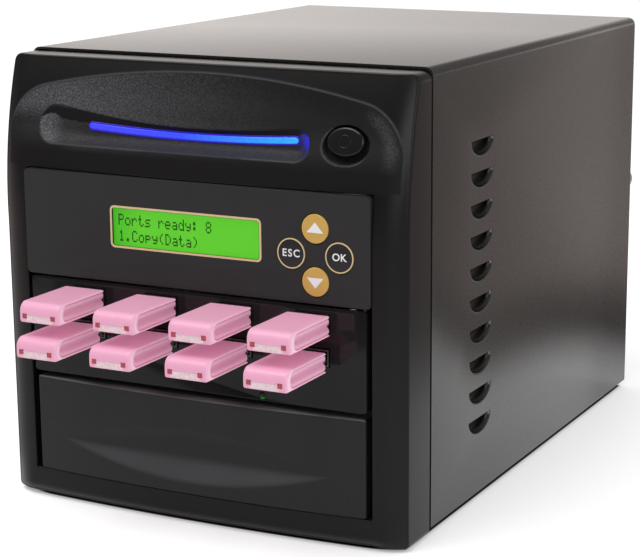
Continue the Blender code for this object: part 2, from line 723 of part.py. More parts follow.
def cut_button_well(bezel):
    """Cut the flared well and the hole for the power button."""
    centre, outward = button_frame()
    bm = bmesh.new()
    length = WELL_DEPTH + OVERRUN
    flare = (1 - WELL_FLOOR_SHARE) * OVERRUN / WELL_DEPTH
    middle = centre + outward * (OVERRUN - WELL_DEPTH) / 2
    add_round(bm, WELL_WIDTH / 2 * WELL_FLOOR_SHARE, length, middle, outward, 32,
              WELL_WIDTH / 2 * (1 + flare), WELL_HEIGHT / WELL_WIDTH)
    cut(bezel, to_mesh(bm, "button_well"))
    bm = bmesh.new()
    depth = PILLAR_REACH
    radius = BUTTON_WIDTH / 2 + SLIDING_GAP
    shape = (BUTTON_HEIGHT / 2 + SLIDING_GAP) / radius
    add_round(bm, radius, depth, centre - outward * (depth + WELL_DEPTH) / 2, outward, 32, None, shape)
    cut(bezel, to_mesh(bm, "button_hole"))


def build_light_bar(look):
    """Clear bar that lights the trough."""
    front = -(TROUGH_BACK_REACH + LIGHT_PROUD)
    mesh = face_slab("light_bar", [light_outline(0.0)], front, -TOP_SOLID_REACH + LIGHT_TAIL)
    return place(mesh, "light_bar", look)


def build_power_button(look, dark):
    """Oval button, and the switch that it presses at the end of its travel."""
    centre, outward = button_frame()
    plate_y = -TOP_SOLID_REACH + GAP
    room = plate_y - GAP - centre.y + BUTTON_HEIGHT / 2 * -outward.z
    depth = room / -outward.y - BUTTON_SUNK - BUTTON_TRAVEL
    turn = Vector((0, 0, 1)).rotation_difference(outward).to_matrix().to_4x4()
    shape = Matrix.Diagonal((1.0, BUTTON_HEIGHT / BUTTON_WIDTH, 1.0, 1.0))
    bm = bmesh.new()
    radius = BUTTON_WIDTH / 2
    bmesh.ops.create_cone(bm, cap_ends=True, segments=32, radius1=radius, radius2=radius,
                          depth=depth, matrix=shape @ Matrix.Translation((0, 0, -depth / 2)))
    bmesh.ops.transform(bm, matrix=turn, verts=bm.verts)
    button = place(to_mesh(bm, "power_button"), "power_button", look, centre - outward * BUTTON_SUNK)
    bevel(button, BUTTON_EDGE, 2)
    body_y = plate_y + SWITCH_PLATE[1]
    switch = place(boxes_mesh("power_switch", [slab_span(BUTTON_X, BUTTON_Z, SWITCH_PLATE, plate_y)]),
                   "power_switch", dark)
    body = slab_span(BUTTON_X, BUTTON_Z, SWITCH_BODY, body_y)
    join(switch, boxes_mesh("switch_body", [(lower_y(body[0]), body[1])]))
    return button


def slab_span(x, z, size, y_front):
    """Corners of a box centred on X and Z that starts at a given Y."""
    low = (x - size[0] / 2, y_front, z - size[2] / 2)
    return low, (x + size[0] / 2, y_front + size[1], z + size[2] / 2)


def lower_y(corner):
    """Move a corner forward a little, so that two joined boxes overlap."""
    return (corner[0], corner[1] - GAP, corner[2])


# Steel case

def cover_outline(half, height, radius, steps, y):
    """Left edge, up, over the top and down: the cover seen from the front."""
    points = [(-half, y, 0)]
    points += [(x, y, z) for x, z in arc((-half + radius, height - radius), radius, 180, 90, steps)]
    points += [(x, y, z) for x, z in arc((half - radius, height - radius), radius, 90, 0, steps)]
    points.append((half, y, 0))
    return points


def build_cover(look):
    """One folded sheet: two sides, the top and a flange round the rear."""
    half = CASE_WIDTH / 2
    steps = 4
    outer = cover_outline(half, CASE_HEIGHT, COVER_CORNER_RADIUS, steps, 0)
    cover = folded_sheet("outer_cover", look, outer, (0, CASE_DEPTH, 0), SHEET)
    inner = cover_outline(half - COVER_REAR_FLANGE, CASE_HEIGHT - COVER_REAR_FLANGE, SHEET, steps, CASE_DEPTH)
    bm = bmesh.new()
    bm.from_mesh(cover.data)
    bm.verts.ensure_lookup_table()
    rear = [bm.verts[len(outer) + i] for i in range(len(outer))]
    turned_in = [bm.verts.new(point) for point in inner]
    for i in range(len(outer) - 1):
        bm.faces.new((rear[i], rear[i + 1], turned_in[i + 1], turned_in[i]))
    bm.to_mesh(cover.data)
    bm.free()
    join(cover, louvre_mesh("louvre_dishes", SHEET, LOUVRE_LIP_DROP, True))
    cut(cover, louvre_mesh("louvre_hollows", 0.0, 0.0, False))
    holes = bmesh.new()
    for side in (-1, 1):
        add_round(holes, SCREW_SHANK_RADIUS + SCREW_HOLE_GAP, SHEET + 2 * OVERRUN,
                  (side * SCREW_X, CASE_DEPTH - SHEET / 2, SCREW_Z), (0, 1, 0), 12)
    cut(cover, to_mesh(holes, "cover_screw_holes"))
    return cover


def louvre_mesh(name, grow, drop, inside_only):
    """Half dishes for all louvres, grown by the sheet for their outer side."""
    bm = bmesh.new()
    face = CASE_WIDTH / 2
    axes = (LOUVRE_DEPTH + grow, LOUVRE_LENGTH / 2 + grow, LOUVRE_HEIGHT + grow)
    for side in (-1, 1):
        for i in range(LOUVRE_COUNT):
            top = LOUVRE_TOP_Z - i * LOUVRE_PITCH
            matrix = Matrix.Translation((side * face, LOUVRE_CENTRE_Y, top)) @ Matrix.Diagonal((*axes, 1.0))
            dish = bmesh.ops.create_uvsphere(bm, u_segments=12, v_segments=8, radius=1.0, matrix=matrix)
            verts = dish["verts"]
            keep_part(bm, verts, (0, 0, top - drop), (0, 0, 1))
            if inside_only:
                verts = [v for v in bm.verts if v.co.x * side > 0 and abs(v.co.z - top) < axes[2] + grow]
                keep_part(bm, verts, (side * (face - SHEET / 2), 0, 0), (side, 0, 0))
    return to_mesh(bm, name)


def keep_part(bm, verts, point, normal):
    """Cut the solid that has these vertices at a plane, and close it again."""
    faces = {face for vert in verts for face in vert.link_faces}
    edges = {edge for face in faces for edge in face.edges}
    geometry = list(verts) + list(edges) + list(faces)
    result = bmesh.ops.bisect_plane(bm, geom=geometry, plane_co=point, plane_no=normal, clear_outer=True)
    rim = [item for item in result["geom_cut"] if isinstance(item, bmesh.types.BMEdge)]
    bmesh.ops.contextual_create(bm, geom=rim)


def build_tray(look):
    """Bottom sheet with turned-up sides."""
    side = TRAY_HALF
    front = FRAME_FRONT_Y
    up = TRAY_FLANGE - TRAY_DROP
    outline = [(side, front, up), (side, front, -TRAY_DROP), (-side, front, -TRAY_DROP), (-side, front, up)]
    length = REAR_PANEL_Y - front
    return folded_sheet("base_tray", look, outline, (0, length, 0), SHEET)


def upright_panel(name, look, y_face, flange_to):
    """Vertical sheet across the case, with both sides folded along Y."""
    low = TRAY_TOP_Z + GAP
    high = CASE_HEIGHT - SHEET - GAP
    outline = [(INNER_HALF, flange_to, low), (INNER_HALF, y_face, low),
               (-INNER_HALF, y_face, low), (-INNER_HALF, flange_to, low)]
    if flange_to > y_face:
        outline.reverse()
    return folded_sheet(name, look, outline, (0, 0, high - low), SHEET)


def build_front_frame(look):
    """Steel front that carries the plastic front and the bay cage."""
    frame = upright_panel("front_frame", look, FRAME_FRONT_Y, FRAME_FRONT_Y + PANEL_FLANGE)
    half = CAGE_INNER_WIDTH / 2
    low = (-half, FRAME_FRONT_Y - OVERRUN, OPENING_BOTTOM_Z)
    high = (half, FRAME_FRONT_Y + PANEL_FLANGE / 2, CAGE_TOP_Z - SHEET)
    cut(frame, boxes_mesh("frame_opening", [(low, high)]))
    return frame


def build_bay_cage(look):
    """Folded cage whose side walls hold the three bays."""
    half = CAGE_INNER_WIDTH / 2 + SHEET
    low = TRAY_TOP_Z + GAP
    outline = [(-half, CAGE_FRONT_Y, low), (-half, CAGE_FRONT_Y, CAGE_TOP_Z),
               (half, CAGE_FRONT_Y, CAGE_TOP_Z), (half, CAGE_FRONT_Y, low)]
    cage = folded_sheet("bay_cage", look, outline, (0, CAGE_DEPTH, 0), SHEET)
    slots = []
    for bay in range(BAY_COUNT):
        centre_z = BAY_1_Z - bay * BAY_PITCH
        for share in CAGE_SLOT_SHARES:
            y = CAGE_FRONT_Y + CAGE_DEPTH * share
            slots.append(((-half - OVERRUN, y - CAGE_SLOT[0] / 2, centre_z - CAGE_SLOT[1] / 2),
                          (half + OVERRUN, y + CAGE_SLOT[0] / 2, centre_z + CAGE_SLOT[1] / 2)))
    cut(cage, boxes_mesh("cage_slots", slots))
    return cage


def build_rear_panel(look):
    """Rear sheet with a window for the power supply and two rows of vents."""
    panel = upright_panel("rear_panel", look, REAR_PANEL_Y, REAR_PANEL_Y - PANEL_FLANGE)
    front = REAR_PANEL_Y - SHEET - OVERRUN
    rear = REAR_PANEL_Y + OVERRUN
    half = SUPPLY_HALF - REAR_WINDOW_MARGIN
    low = SUPPLY_BOTTOM_Z + REAR_WINDOW_MARGIN
    spans = [((-half, front, low), (half, rear, SUPPLY_TOP_Z - REAR_WINDOW_MARGIN))]
    space = CASE_HEIGHT - SUPPLY_TOP_Z
    for share in VENT_ROW_SHARES:
        z = SUPPLY_TOP_Z + space * share
        for i in range(VENT_COUNT):
            x = (i - (VENT_COUNT - 1) / 2) * VENT_PITCH
            rise = space * VENT_HEIGHT_SHARE / 2
            spans.append(((x - VENT_WIDTH / 2, front, z - rise), (x + VENT_WIDTH / 2, rear, z + rise)))
    cut(panel, boxes_mesh("rear_openings", spans))
    holes = bmesh.new()
    for side in (-1, 1):
        add_round(holes, SCREW_SHANK_RADIUS + SCREW_HOLE_GAP, SHEET + 2 * OVERRUN,
                  (side * SCREW_X, REAR_PANEL_Y - SHEET / 2, SCREW_Z), (0, 1, 0), 12)
    cut(panel, to_mesh(holes, "panel_screw_holes"))
    return panel


def build_screws(look):
    """Thumbscrews that hold the cover's rear flange."""
    profile = [(0, SCREW_HEAD), (SCREW_HEAD_RADIUS - BUTTON_EDGE, SCREW_HEAD),
               (SCREW_HEAD_RADIUS, SCREW_HEAD - BUTTON_EDGE), (SCREW_HEAD_RADIUS, 0),
               (SCREW_SHANK_RADIUS, 0), (SCREW_SHANK_RADIUS, -SCREW_SHANK), (0, -SCREW_SHANK)]
    for side, name in ((-1, "cover_screw_left"), (1, "cover_screw_right")):
        turned(name, look, profile, (side * SCREW_X, CASE_DEPTH + GAP, SCREW_Z), (0, 1, 0), 16)


def build_feet(look):
    """Four rubber feet under the tray."""
    top = -TRAY_DROP - GAP
    profile = [(0, 0), (FOOT_RADIUS, 0), (FOOT_RADIUS, -FOOT_HEIGHT + FOOT_EDGE),
               (FOOT_RADIUS - FOOT_EDGE, -FOOT_HEIGHT), (0, -FOOT_HEIGHT)]
    for y, row in zip(FOOT_Y, ("front", "rear")):
        for side, hand in ((-1, "left"), (1, "right")):
            turned("foot_%s_%s" % (row, hand), look, profile, (side * FOOT_X, y, top), (0, 0, 1), 16)


# Bay 1: display and keys

def bracket_outline(half_face, y_face, wall):
    """Plan of a bay front whose two arms run back along the cage walls."""
    arm = CAGE_INNER_WIDTH / 2 - GAP
    back = y_face + wall
    end = BRACKET_END_Y
    inner = arm - BRACKET_WALL
    right = [(half_face, y_face), (half_face, back), (arm, back + BRACKET_WALL), (arm, end),
             (inner, end), (inner, back + BRACKET_WALL), (inner - BRACKET_WALL, back)]
    return right + [(-x, y) for x, y in reversed(right)]


def round_corners(panel, half, low, high, radius):
    """Round the four corners of a bay front, seen from the front."""
    limit = rounded_rectangle(-half, half, low, high, radius, radius)
    slab = face_slab(panel.name + "_limits", [limit], -PANEL_REACH - OVERRUN, BRACKET_END_Y + OVERRUN)
    boolean(panel, place(slab, panel.name + "_limits"), "INTERSECT")


def build_control_panel(look):
    """Bay front with a window rebate, key holes and bosses for its board."""
    face = -PANEL_REACH
    back = face + CONTROL_WALL
    low = BAY_1_Z - CONTROL_SIZE[1] / 2
    high = BAY_1_Z + CONTROL_SIZE[1] / 2
    mesh = plan_slab("control_panel", [bracket_outline(CONTROL_SIZE[0] / 2, face, CONTROL_WALL)], low, high)
    panel = place(mesh, "control_panel", look)
    round_corners(panel, CONTROL_SIZE[0] / 2, low, high, CONTROL_RADIUS)
    rebate = [size + 2 * GAP for size in (LCD_PANE[0], 0, LCD_PANE[2])]
    rebate[1] = LCD_PANE[1] + GAP + OVERRUN
    aperture = [LCD_PANE[0] - 2 * LCD_LEDGE, 2 * CONTROL_WALL, LCD_PANE[2] - 2 * LCD_LEDGE]
    spans = [slab_span(LCD_X, LCD_Z, rebate, face - OVERRUN), slab_span(LCD_X, LCD_Z, aperture, face)]
    cut(panel, boxes_mesh("lcd_rebate", spans[:1]))
    cut(panel, boxes_mesh("lcd_aperture", spans[1:]))
    holes = bmesh.new()
    for x, z in key_places().values():
        add_round(holes, KEY_RADIUS + SLIDING_GAP, CONTROL_WALL + 2 * OVERRUN,
                  (x, face + CONTROL_WALL / 2, z), (0, 1, 0), 24)
    cut(panel, to_mesh(holes, "key_holes"))
    bosses = bmesh.new()
    boss_front = face + CONTROL_WALL / 2
    boss_rear = keypad_front_y() - GAP
    for x, z in boss_places():
        middle = (boss_front + boss_rear) / 2
        add_round(bosses, BOSS_RADIUS, boss_rear - boss_front, (x, middle, z), (0, 1, 0), 10)
    join(panel, to_mesh(bosses, "keypad_bosses"))
    return panel


def key_places():
    """Centres of the four keys, in X and Z."""
    return {"key_up": (KEY_X, KEY_Z + KEY_OFFSET), "key_down": (KEY_X, KEY_Z - KEY_OFFSET),
            "key_esc": (KEY_X - KEY_OFFSET, KEY_Z), "key_ok": (KEY_X + KEY_OFFSET, KEY_Z)}


def boss_places():
    """Bosses at the corners of the keypad board."""
    across = KEYPAD_SIZE[0] / 2 - BOSS_INSET
    up = KEYPAD_SIZE[2] / 2 - BOSS_INSET
    return [(KEYPAD_CENTRE_X + a * across, KEY_Z + b * up) for a in (-1, 1) for b in (-1, 1)]


def key_rear_y():
    """Rear end of a key's stem at rest."""
    return -PANEL_REACH + CONTROL_WALL + GAP + KEY_FLANGE + KEY_STEM


def keypad_front_y():
    """Front face of the keypad board, behind its small switches."""
    return key_rear_y() + KEY_TRAVEL + GAP + TACT_SIZE[1]


def build_keys(gold, dark):
    """Round keys, each with a retaining flange and a stem, turned about Y."""
    front = -PANEL_REACH - KEY_PROUD
    flange = -PANEL_REACH + CONTROL_WALL + GAP
    length = flange - front
    profile = [(0, 0), (KEY_RADIUS - KEY_EDGE, 0), (KEY_RADIUS, KEY_EDGE), (KEY_RADIUS, length),
               (KEY_FLANGE_RADIUS, length), (KEY_FLANGE_RADIUS, length + KEY_FLANGE),
               (KEY_STEM_RADIUS, length + KEY_FLANGE), (KEY_STEM_RADIUS, length + KEY_FLANGE + KEY_STEM),
               (0, length + KEY_FLANGE + KEY_STEM)]
    looks = {"key_up": gold, "key_down": gold, "key_esc": dark, "key_ok": dark}
    for name, (x, z) in key_places().items():
        turned(name, looks[name], list(reversed(profile)), (x, front, z), (0, 1, 0), 24)


def build_keypad_board(look):
    """Board with one small switch behind each key."""
    front = keypad_front_y()
    board = place(boxes_mesh("keypad_board", [slab_span(KEYPAD_CENTRE_X, KEY_Z, KEYPAD_SIZE, front)]),
                  "keypad_board", look)
    spans = []
    for x, z in key_places().values():
        low, high = slab_span(x, z, TACT_SIZE, front - TACT_SIZE[1])
        spans.append((low, (high[0], high[1] + GAP, high[2])))
    join(board, boxes_mesh("tact_switches", spans))
    return board


def build_display(glass, board_look):
    """Clear pane in the panel, and the framed display behind it."""
    pane = (LCD_X, -PANEL_REACH + LCD_PANE[1] / 2, LCD_Z)
    block("lcd_window", glass, LCD_PANE, pane)
    front = -PANEL_REACH + CONTROL_WALL + GAP
    module = place(boxes_mesh("lcd_module", [slab_span(LCD_X, LCD_Z, LCD_FRAME, front)]),
                   "lcd_module", board_look)
    board = slab_span(LCD_X, LCD_Z, LCD_BOARD, front + LCD_FRAME[1])
    join(module, boxes_mesh("lcd_board", [(lower_y(board[0]), board[1])]))


# Bay 2: ports and drives

def port_places():
    """Row number, X and Z of each port, upper row first."""
    places = []
    for row, z in enumerate(PORT_ROWS_Z):
        for i in range(PORT_COLUMNS):
            x = PORT_FIELD_X + (i - (PORT_COLUMNS - 1) / 2) * PORT_PITCH
            places.append((row, x, z))
    return places


def build_usb_panel(look):
    """Glossy bay front with eight port cut-outs and a light at its lower edge."""
    bay_z = BAY_1_Z - BAY_PITCH
    face = -PANEL_REACH
    half = PORT_PLATE_SIZE[0] / 2
    low = bay_z - PORT_PLATE_SIZE[1] / 2
    high = bay_z + PORT_PLATE_SIZE[1] / 2
    mesh = plan_slab("usb_panel", [bracket_outline(half, face, PORT_PLATE_WALL)], low, high)
    panel = place(mesh, "usb_panel", look)
    round_corners(panel, CAGE_INNER_WIDTH / 2, low, high, PORT_PLATE_RADIUS)
    size = (PORT_OUTER[0] + 2 * PORT_CUT_GAP, PORT_PLATE_WALL + 2 * OVERRUN, PORT_OUTER[1] + 2 * PORT_CUT_GAP)
    spans = [slab_span(x, z, size, face - OVERRUN) for row, x, z in port_places()]
    cut(panel, boxes_mesh("port_openings", spans))
    hole = bmesh.new()
    add_round(hole, LED_RADIUS + GAP, PORT_PLATE_WALL + 2 * OVERRUN,
              (LED_X, face + PORT_PLATE_WALL / 2, led_z()), (0, 1, 0), 12)
    cut(panel, to_mesh(hole, "led_hole"))
    return panel


def led_z():
    """Height of the status light, just inside the plate's lower edge."""
    return BAY_1_Z - BAY_PITCH - PORT_PLATE_SIZE[1] / 2 + LED_EDGE_MARGIN + GAP + LED_RADIUS


def build_status_led(look):
    """Round light in the port plate."""
    bm = bmesh.new()
    add_round(bm, LED_RADIUS, LED_LENGTH, (0, LED_LENGTH / 2, 0), (0, 1, 0), 12)
    return place(to_mesh(bm, "status_led"), "status_led", look, (LED_X, -PANEL_REACH, led_z()))


def build_ports(shell, board_look):
    """Port shells, open to the front, and the hub board behind them."""
    front = -PANEL_REACH - PORT_PROUD
    outer = (PORT_OUTER[0], PORT_LENGTH, PORT_OUTER[1])
    inner = (PORT_OUTER[0] - 2 * PORT_WALL, PORT_LENGTH - PORT_WALL + OVERRUN, PORT_OUTER[1] - 2 * PORT_WALL)
    for number, (row, x, z) in enumerate(port_places(), 1):
        name = "usb_socket_%d" % number
        socket = place(boxes_mesh(name, [slab_span(x, z, outer, front)]), name, shell)
        cut(socket, boxes_mesh(name, [slab_span(x, z, inner, front - OVERRUN)]))
    board_y = front + PORT_LENGTH + GAP + HUB_SIZE[1] / 2
    block("usb_hub_board", board_look, HUB_SIZE, (0, board_y, HUB_Z))


def drive_side_outline(inset):
    """Side view of a drive body: a long box with a rounded nose, rear face at zero."""
    length = DRIVE_SIZE[1]
    half = DRIVE_SIZE[2] / 2 - inset
    nose = -length + inset
    top = DRIVE_NOSE_TOP_RADIUS - inset
    foot = DRIVE_NOSE_FOOT_RADIUS - inset
    rear = OVERRUN if inset else 0.0
    points = [(rear, -half)]
    points += arc((nose + foot, -half + foot), foot, 270, 180, 3)
    points += arc((nose + top, half - top), top, 180, 90, 5)
    points.append((rear, half))
    return points


def drive_mesh():
    """Wrapped body: a shell over the top, nose and underside, with recessed sides."""
    half = DRIVE_SIZE[0] / 2
    body = place(side_slab("drive_form", [drive_side_outline(0.0)], -half, half), "drive_form")
    bevel(body, DRIVE_PLAN_RADIUS / 2, 1, WIDE_ANGLE_DEG)
    inner = half - DRIVE_SIDE_RECESS
    outer = side_slab("drive_sides", [drive_side_outline(DRIVE_RIM)], inner, half + OVERRUN)
    for side in (1, -1):
        recess = place(outer.copy(), "drive_recess")
        if side < 0:
            recess.data.transform(Matrix.Rotation(math.pi, 4, "Y"))
            recess.data.transform(Matrix.Diagonal((1.0, 1.0, -1.0, 1.0)))
            recess.data.flip_normals()
        boolean(body, recess, "DIFFERENCE")
        groove = place(drive_groove(side * inner), "drive_groove")
        boolean(body, groove, "DIFFERENCE")
    size = (DRIVE_WINDOW[0], DRIVE_WINDOW[1] + OVERRUN, DRIVE_WINDOW[2])
    window = slab_span(0, -DRIVE_SIZE[2] / 2 + DRIVE_WINDOW_RISE, size, -DRIVE_SIZE[1] - OVERRUN)
    cut(body, boxes_mesh("drive_window", [window]))
    graph = bpy.context.evaluated_depsgraph_get()
    mesh = bpy.data.meshes.new_from_object(body.evaluated_get(graph))
    for item in [o for o in CUTTERS.objects if o.name.startswith("drive_")]:
        bpy.data.objects.remove(item, do_unlink=True)
    return mesh


def drive_groove(x):
    """Diamond bar that cuts the parting groove along one side."""
    points = [(DRIVE_GROOVE, 0), (0, DRIVE_GROOVE), (-DRIVE_GROOVE, 0), (0, -DRIVE_GROOVE)]
    length = DRIVE_SIZE[1] - DRIVE_NOSE_TOP_RADIUS / 2
    mesh = face_slab("drive_groove", [points], -length, OVERRUN)
    mesh.transform(Matrix.Translation((x, 0, 0)))
    return mesh


def build_drives(body_look, plug_look):
    """Eight plugged-in drives; the lower row is not pushed fully home."""
    shared = drive_mesh()
    shared.materials.clear()
    shared.materials.append(body_look)
    for number, (row, x, z) in enumerate(port_places(), 1):
        rear = -PANEL_REACH - DRIVE_STANDOFF - row * DRIVE_SHORTFALL
        name = "drive_%d_body" % number
        item = bpy.data.objects.new(name, shared)
        item.parent = ROOT
        item.location = (x, rear, z)
        PARTS.objects.link(item)
        length = DRIVE_STANDOFF - PORT_PROUD - GAP + PLUG_INSERTED
        plug = block("drive_%d_plug" % number, plug_look, (PLUG_SIZE[0], length, PLUG_SIZE[1]),
                     (x, rear + GAP + length / 2, z))
        bevel(plug, PLUG_EDGE, 1)


# Bay 3: blank cover

def build_blank(look):
    """Snap-in cover with a crowned face, an eye-shaped scoop and two arms."""
    bay_z = BAY_1_Z - 2 * BAY_PITCH
    half = BLANK_SIZE[0] / 2
    low = bay_z - BLANK_SIZE[1] / 2
    high = bay_z + BLANK_SIZE[1] / 2
    edge_y = -PANEL_REACH + (BLANK_CROWN - CROWN)
    steps = 12
    points = []
    for i in range(steps + 1):
        x = half * (2 * i / steps - 1)
        points.append((x, edge_y - BLANK_CROWN * (1 - (x / half) ** 2)))
    points += [(half, edge_y + BLANK_DEPTH), (-half, edge_y + BLANK_DEPTH)]
    cover = place(plan_slab("bay_cover", [points], low, high), "bay_cover", look)
    bevel(cover, BLANK_EDGE, 2, WIDE_ANGLE_DEG)
    inner = half - BLANK_WALL
    cavity = ((-inner, -BLANK_CAVITY_REACH, low + BLANK_WALL),
              (inner, edge_y + BLANK_DEPTH + OVERRUN, high - BLANK_WALL))
    cut(cover, boxes_mesh("bay_cover_cavity", [cavity]))
    arms = []
    arm_outer = CAGE_INNER_WIDTH / 2 - GAP
    start = edge_y + BLANK_DEPTH - 2 * BLANK_WALL
    end = start + BLANK_ARM[0]
    rise = BLANK_ARM[1] / 2
    for side in (-1, 1):
        near, far = sorted((side * (half - BLANK_WALL / 2), side * arm_outer))
        arms.append(((near, start, bay_z - rise), (far, end, bay_z + rise)))
    join(cover, boxes_mesh("bay_cover_arms", arms))
    cut(cover, scoop_mesh(edge_y - BLANK_CROWN, bay_z - SCOOP_DROP))
    return cover


def scoop_mesh(face, z):
    """Spindle whose side, sunk into the face, leaves an eye-shaped scoop."""
    radius = (SCOOP_HALF_HEIGHT ** 2 + SCOOP_DEPTH ** 2) / (2 * SCOOP_DEPTH)
    stand = radius - SCOOP_DEPTH
    bm = bmesh.new()
    rings = 14
    sides = 36
    loops = []
    for i in range(rings + 1):
        share = 2 * i / rings - 1
        here = radius - SCOOP_DEPTH * share ** 2
        ring = []
        for k in range(sides):
            angle = 2 * math.pi * k / sides
            ring.append(bm.verts.new((SCOOP_X + SCOOP_HALF_LENGTH * share,
                                      face - stand + here * math.cos(angle), z + here * math.sin(angle))))
        loops.append(ring)
    for i in range(rings):
        for k in range(sides):
            n = (k + 1) % sides
            bm.faces.new((loops[i][k], loops[i][n], loops[i + 1][n], loops[i + 1][k]))
    bm.faces.new(loops[0])
    bm.faces.new(loops[-1])
    return to_mesh(bm, "scoop")


# Power supply, fan and inlet

def build_supply(look):
    """Power supply housing with a pocket for its fan and its inlet openings."""
    rear = SUPPLY_REAR_Y
    low = (-SUPPLY_HALF, rear - SUPPLY_DEPTH, SUPPLY_BOTTOM_Z)
    high = (SUPPLY_HALF, rear, SUPPLY_TOP_Z)
    supply = place(boxes_mesh("power_supply", [(low, high)]), "power_supply", look)
    pocket = (FAN_SIDE + 2 * GAP, FAN_THICK + 2 * GAP, FAN_SIDE + 2 * GAP)
    span = slab_span(FAN_X, SUPPLY_MIDDLE_Z, pocket, rear - SUPPLY_WALL - pocket[1])
    cut(supply, boxes_mesh("fan_pocket", [span]))
    hole = bmesh.new()
    add_round(hole, FAN_BORE_RADIUS, SUPPLY_WALL + 2 * OVERRUN,
              (FAN_X, rear, SUPPLY_MIDDLE_Z), (0, 1, 0), 32)
    cut(supply, to_mesh(hole, "fan_hole"))
    spans = []
    for size, z in ((INLET_BODY, INLET_Z), (MAINS_BODY, MAINS_Z)):
        grown = (size[0] + 2 * GAP, size[1] + GAP + OVERRUN, size[2] + 2 * GAP)
        spans.append(slab_span(INLET_X, z, grown, rear - size[1] - GAP))
    cut(supply, boxes_mesh("inlet_openings", spans))
    return supply


def build_fan(frame_look, rotor_look, wire_look):
    """Square fan frame, seven-blade rotor and wire guard."""
    rear = SUPPLY_REAR_Y - SUPPLY_WALL - GAP
    middle = rear - FAN_THICK / 2
    front = rear - FAN_THICK
    frame = block("fan_frame", frame_look, (FAN_SIDE, FAN_THICK, FAN_SIDE), (FAN_X, middle, SUPPLY_MIDDLE_Z))
    bore = bmesh.new()
    add_round(bore, FAN_BORE_RADIUS, FAN_THICK + 2 * OVERRUN, (FAN_X, middle, SUPPLY_MIDDLE_Z), (0, 1, 0), 32)
    cut(frame, to_mesh(bore, "fan_bore"))
    strut_y = front + FAN_STRUT_THICK / 2
    strut = 2 * FAN_BORE_RADIUS + FAN_STRUT
    for size in ((strut, FAN_STRUT_THICK, FAN_STRUT), (FAN_STRUT, FAN_STRUT_THICK, strut)):
        bm = bmesh.new()
        add_box(bm, size, (FAN_X, strut_y, SUPPLY_MIDDLE_Z))
        join(frame, to_mesh(bm, "fan_strut"))
    plate = bmesh.new()
    add_round(plate, FAN_HUB_RADIUS, FAN_STRUT_THICK, (FAN_X, strut_y + GAP, SUPPLY_MIDDLE_Z), (0, 1, 0), 20)
    join(frame, to_mesh(plate, "fan_motor_plate"))
    build_rotor(rotor_look, front + FAN_STRUT_THICK + 2 * GAP, rear)
    build_guard(wire_look)


def build_rotor(look, front, rear):
    """Hub with pitched blades, its origin on the fan's axis."""
    length = rear - front - GAP
    middle = front + length / 2
    bm = bmesh.new()
    add_round(bm, FAN_HUB_RADIUS, length, (0, 0, 0), (0, 1, 0), 20)
    rotor = place(to_mesh(bm, "fan_rotor"), "fan_rotor", look, (FAN_X, middle, SUPPLY_MIDDLE_Z))
    reach = FAN_BORE_RADIUS - FAN_TIP_GAP
    root = FAN_HUB_RADIUS - FAN_BLADE_ROOT
    bm = bmesh.new()
    pitch = Matrix.Rotation(math.radians(FAN_BLADE_PITCH_DEG), 4, "X")
    for i in range(FAN_BLADE_COUNT):
        spin = Matrix.Rotation(2 * math.pi * i / FAN_BLADE_COUNT, 4, "Y")
        outward = Matrix.Translation(((reach + root) / 2, 0, 0))
        matrix = spin @ outward @ pitch @ Matrix.Diagonal((reach - root, *FAN_BLADE, 1.0))
        bmesh.ops.create_cube(bm, size=1.0, matrix=matrix)
    blades = place(to_mesh(bm, "fan_blades"), "fan_blades", None, rotor.location)
    boolean(rotor, blades, "UNION")


def build_guard(look):
    """Wire rings on two crossed spokes, over the fan's hole."""
    rear = SUPPLY_REAR_Y
    spoke_y = rear + GAP + GUARD_WIRE_RADIUS
    ring_y = spoke_y + GUARD_WIRE_RADIUS
    bm = bmesh.new()
    spoke = 2 * (FAN_BORE_RADIUS + GUARD_SPOKE_OVERLAP)
    add_round(bm, GUARD_WIRE_RADIUS, spoke, (FAN_X, spoke_y, SUPPLY_MIDDLE_Z), (1, 0, 1), 6)
    guard = place(to_mesh(bm, "fan_guard"), "fan_guard", look)
    bm = bmesh.new()
    add_round(bm, GUARD_WIRE_RADIUS, spoke, (FAN_X, spoke_y, SUPPLY_MIDDLE_Z), (-1, 0, 1), 6)
    join(guard, to_mesh(bm, "guard_spoke"))
    bm = bmesh.new()
    for share in GUARD_RING_SHARES:
        add_ring(bm, FAN_BORE_RADIUS * share, GUARD_WIRE_RADIUS, (FAN_X, ring_y, SUPPLY_MIDDLE_Z), 20, 5)
    join(guard, to_mesh(bm, "guard_rings"))
    return guard


def add_ring(bm, radius, wire, centre, steps, sides):
    """Add a ring about Y to a bmesh."""
    loops = []
    for i in range(steps):
        angle = 2 * math.pi * i / steps
        loop = []
        for k in range(sides):
            turn = 2 * math.pi * k / sides
            reach = radius + wire * math.cos(turn)
            loop.append(bm.verts.new((centre[0] + reach * math.cos(angle), centre[1] + wire * math.sin(turn),
                                      centre[2] + reach * math.sin(angle))))
        loops.append(loop)
    for i in range(steps):
        for k in range(sides):
            j = (i + 1) % steps
            n = (k + 1) % sides
            bm.faces.new((loops[i][k], loops[i][n], loops[j][n], loops[j][k]))


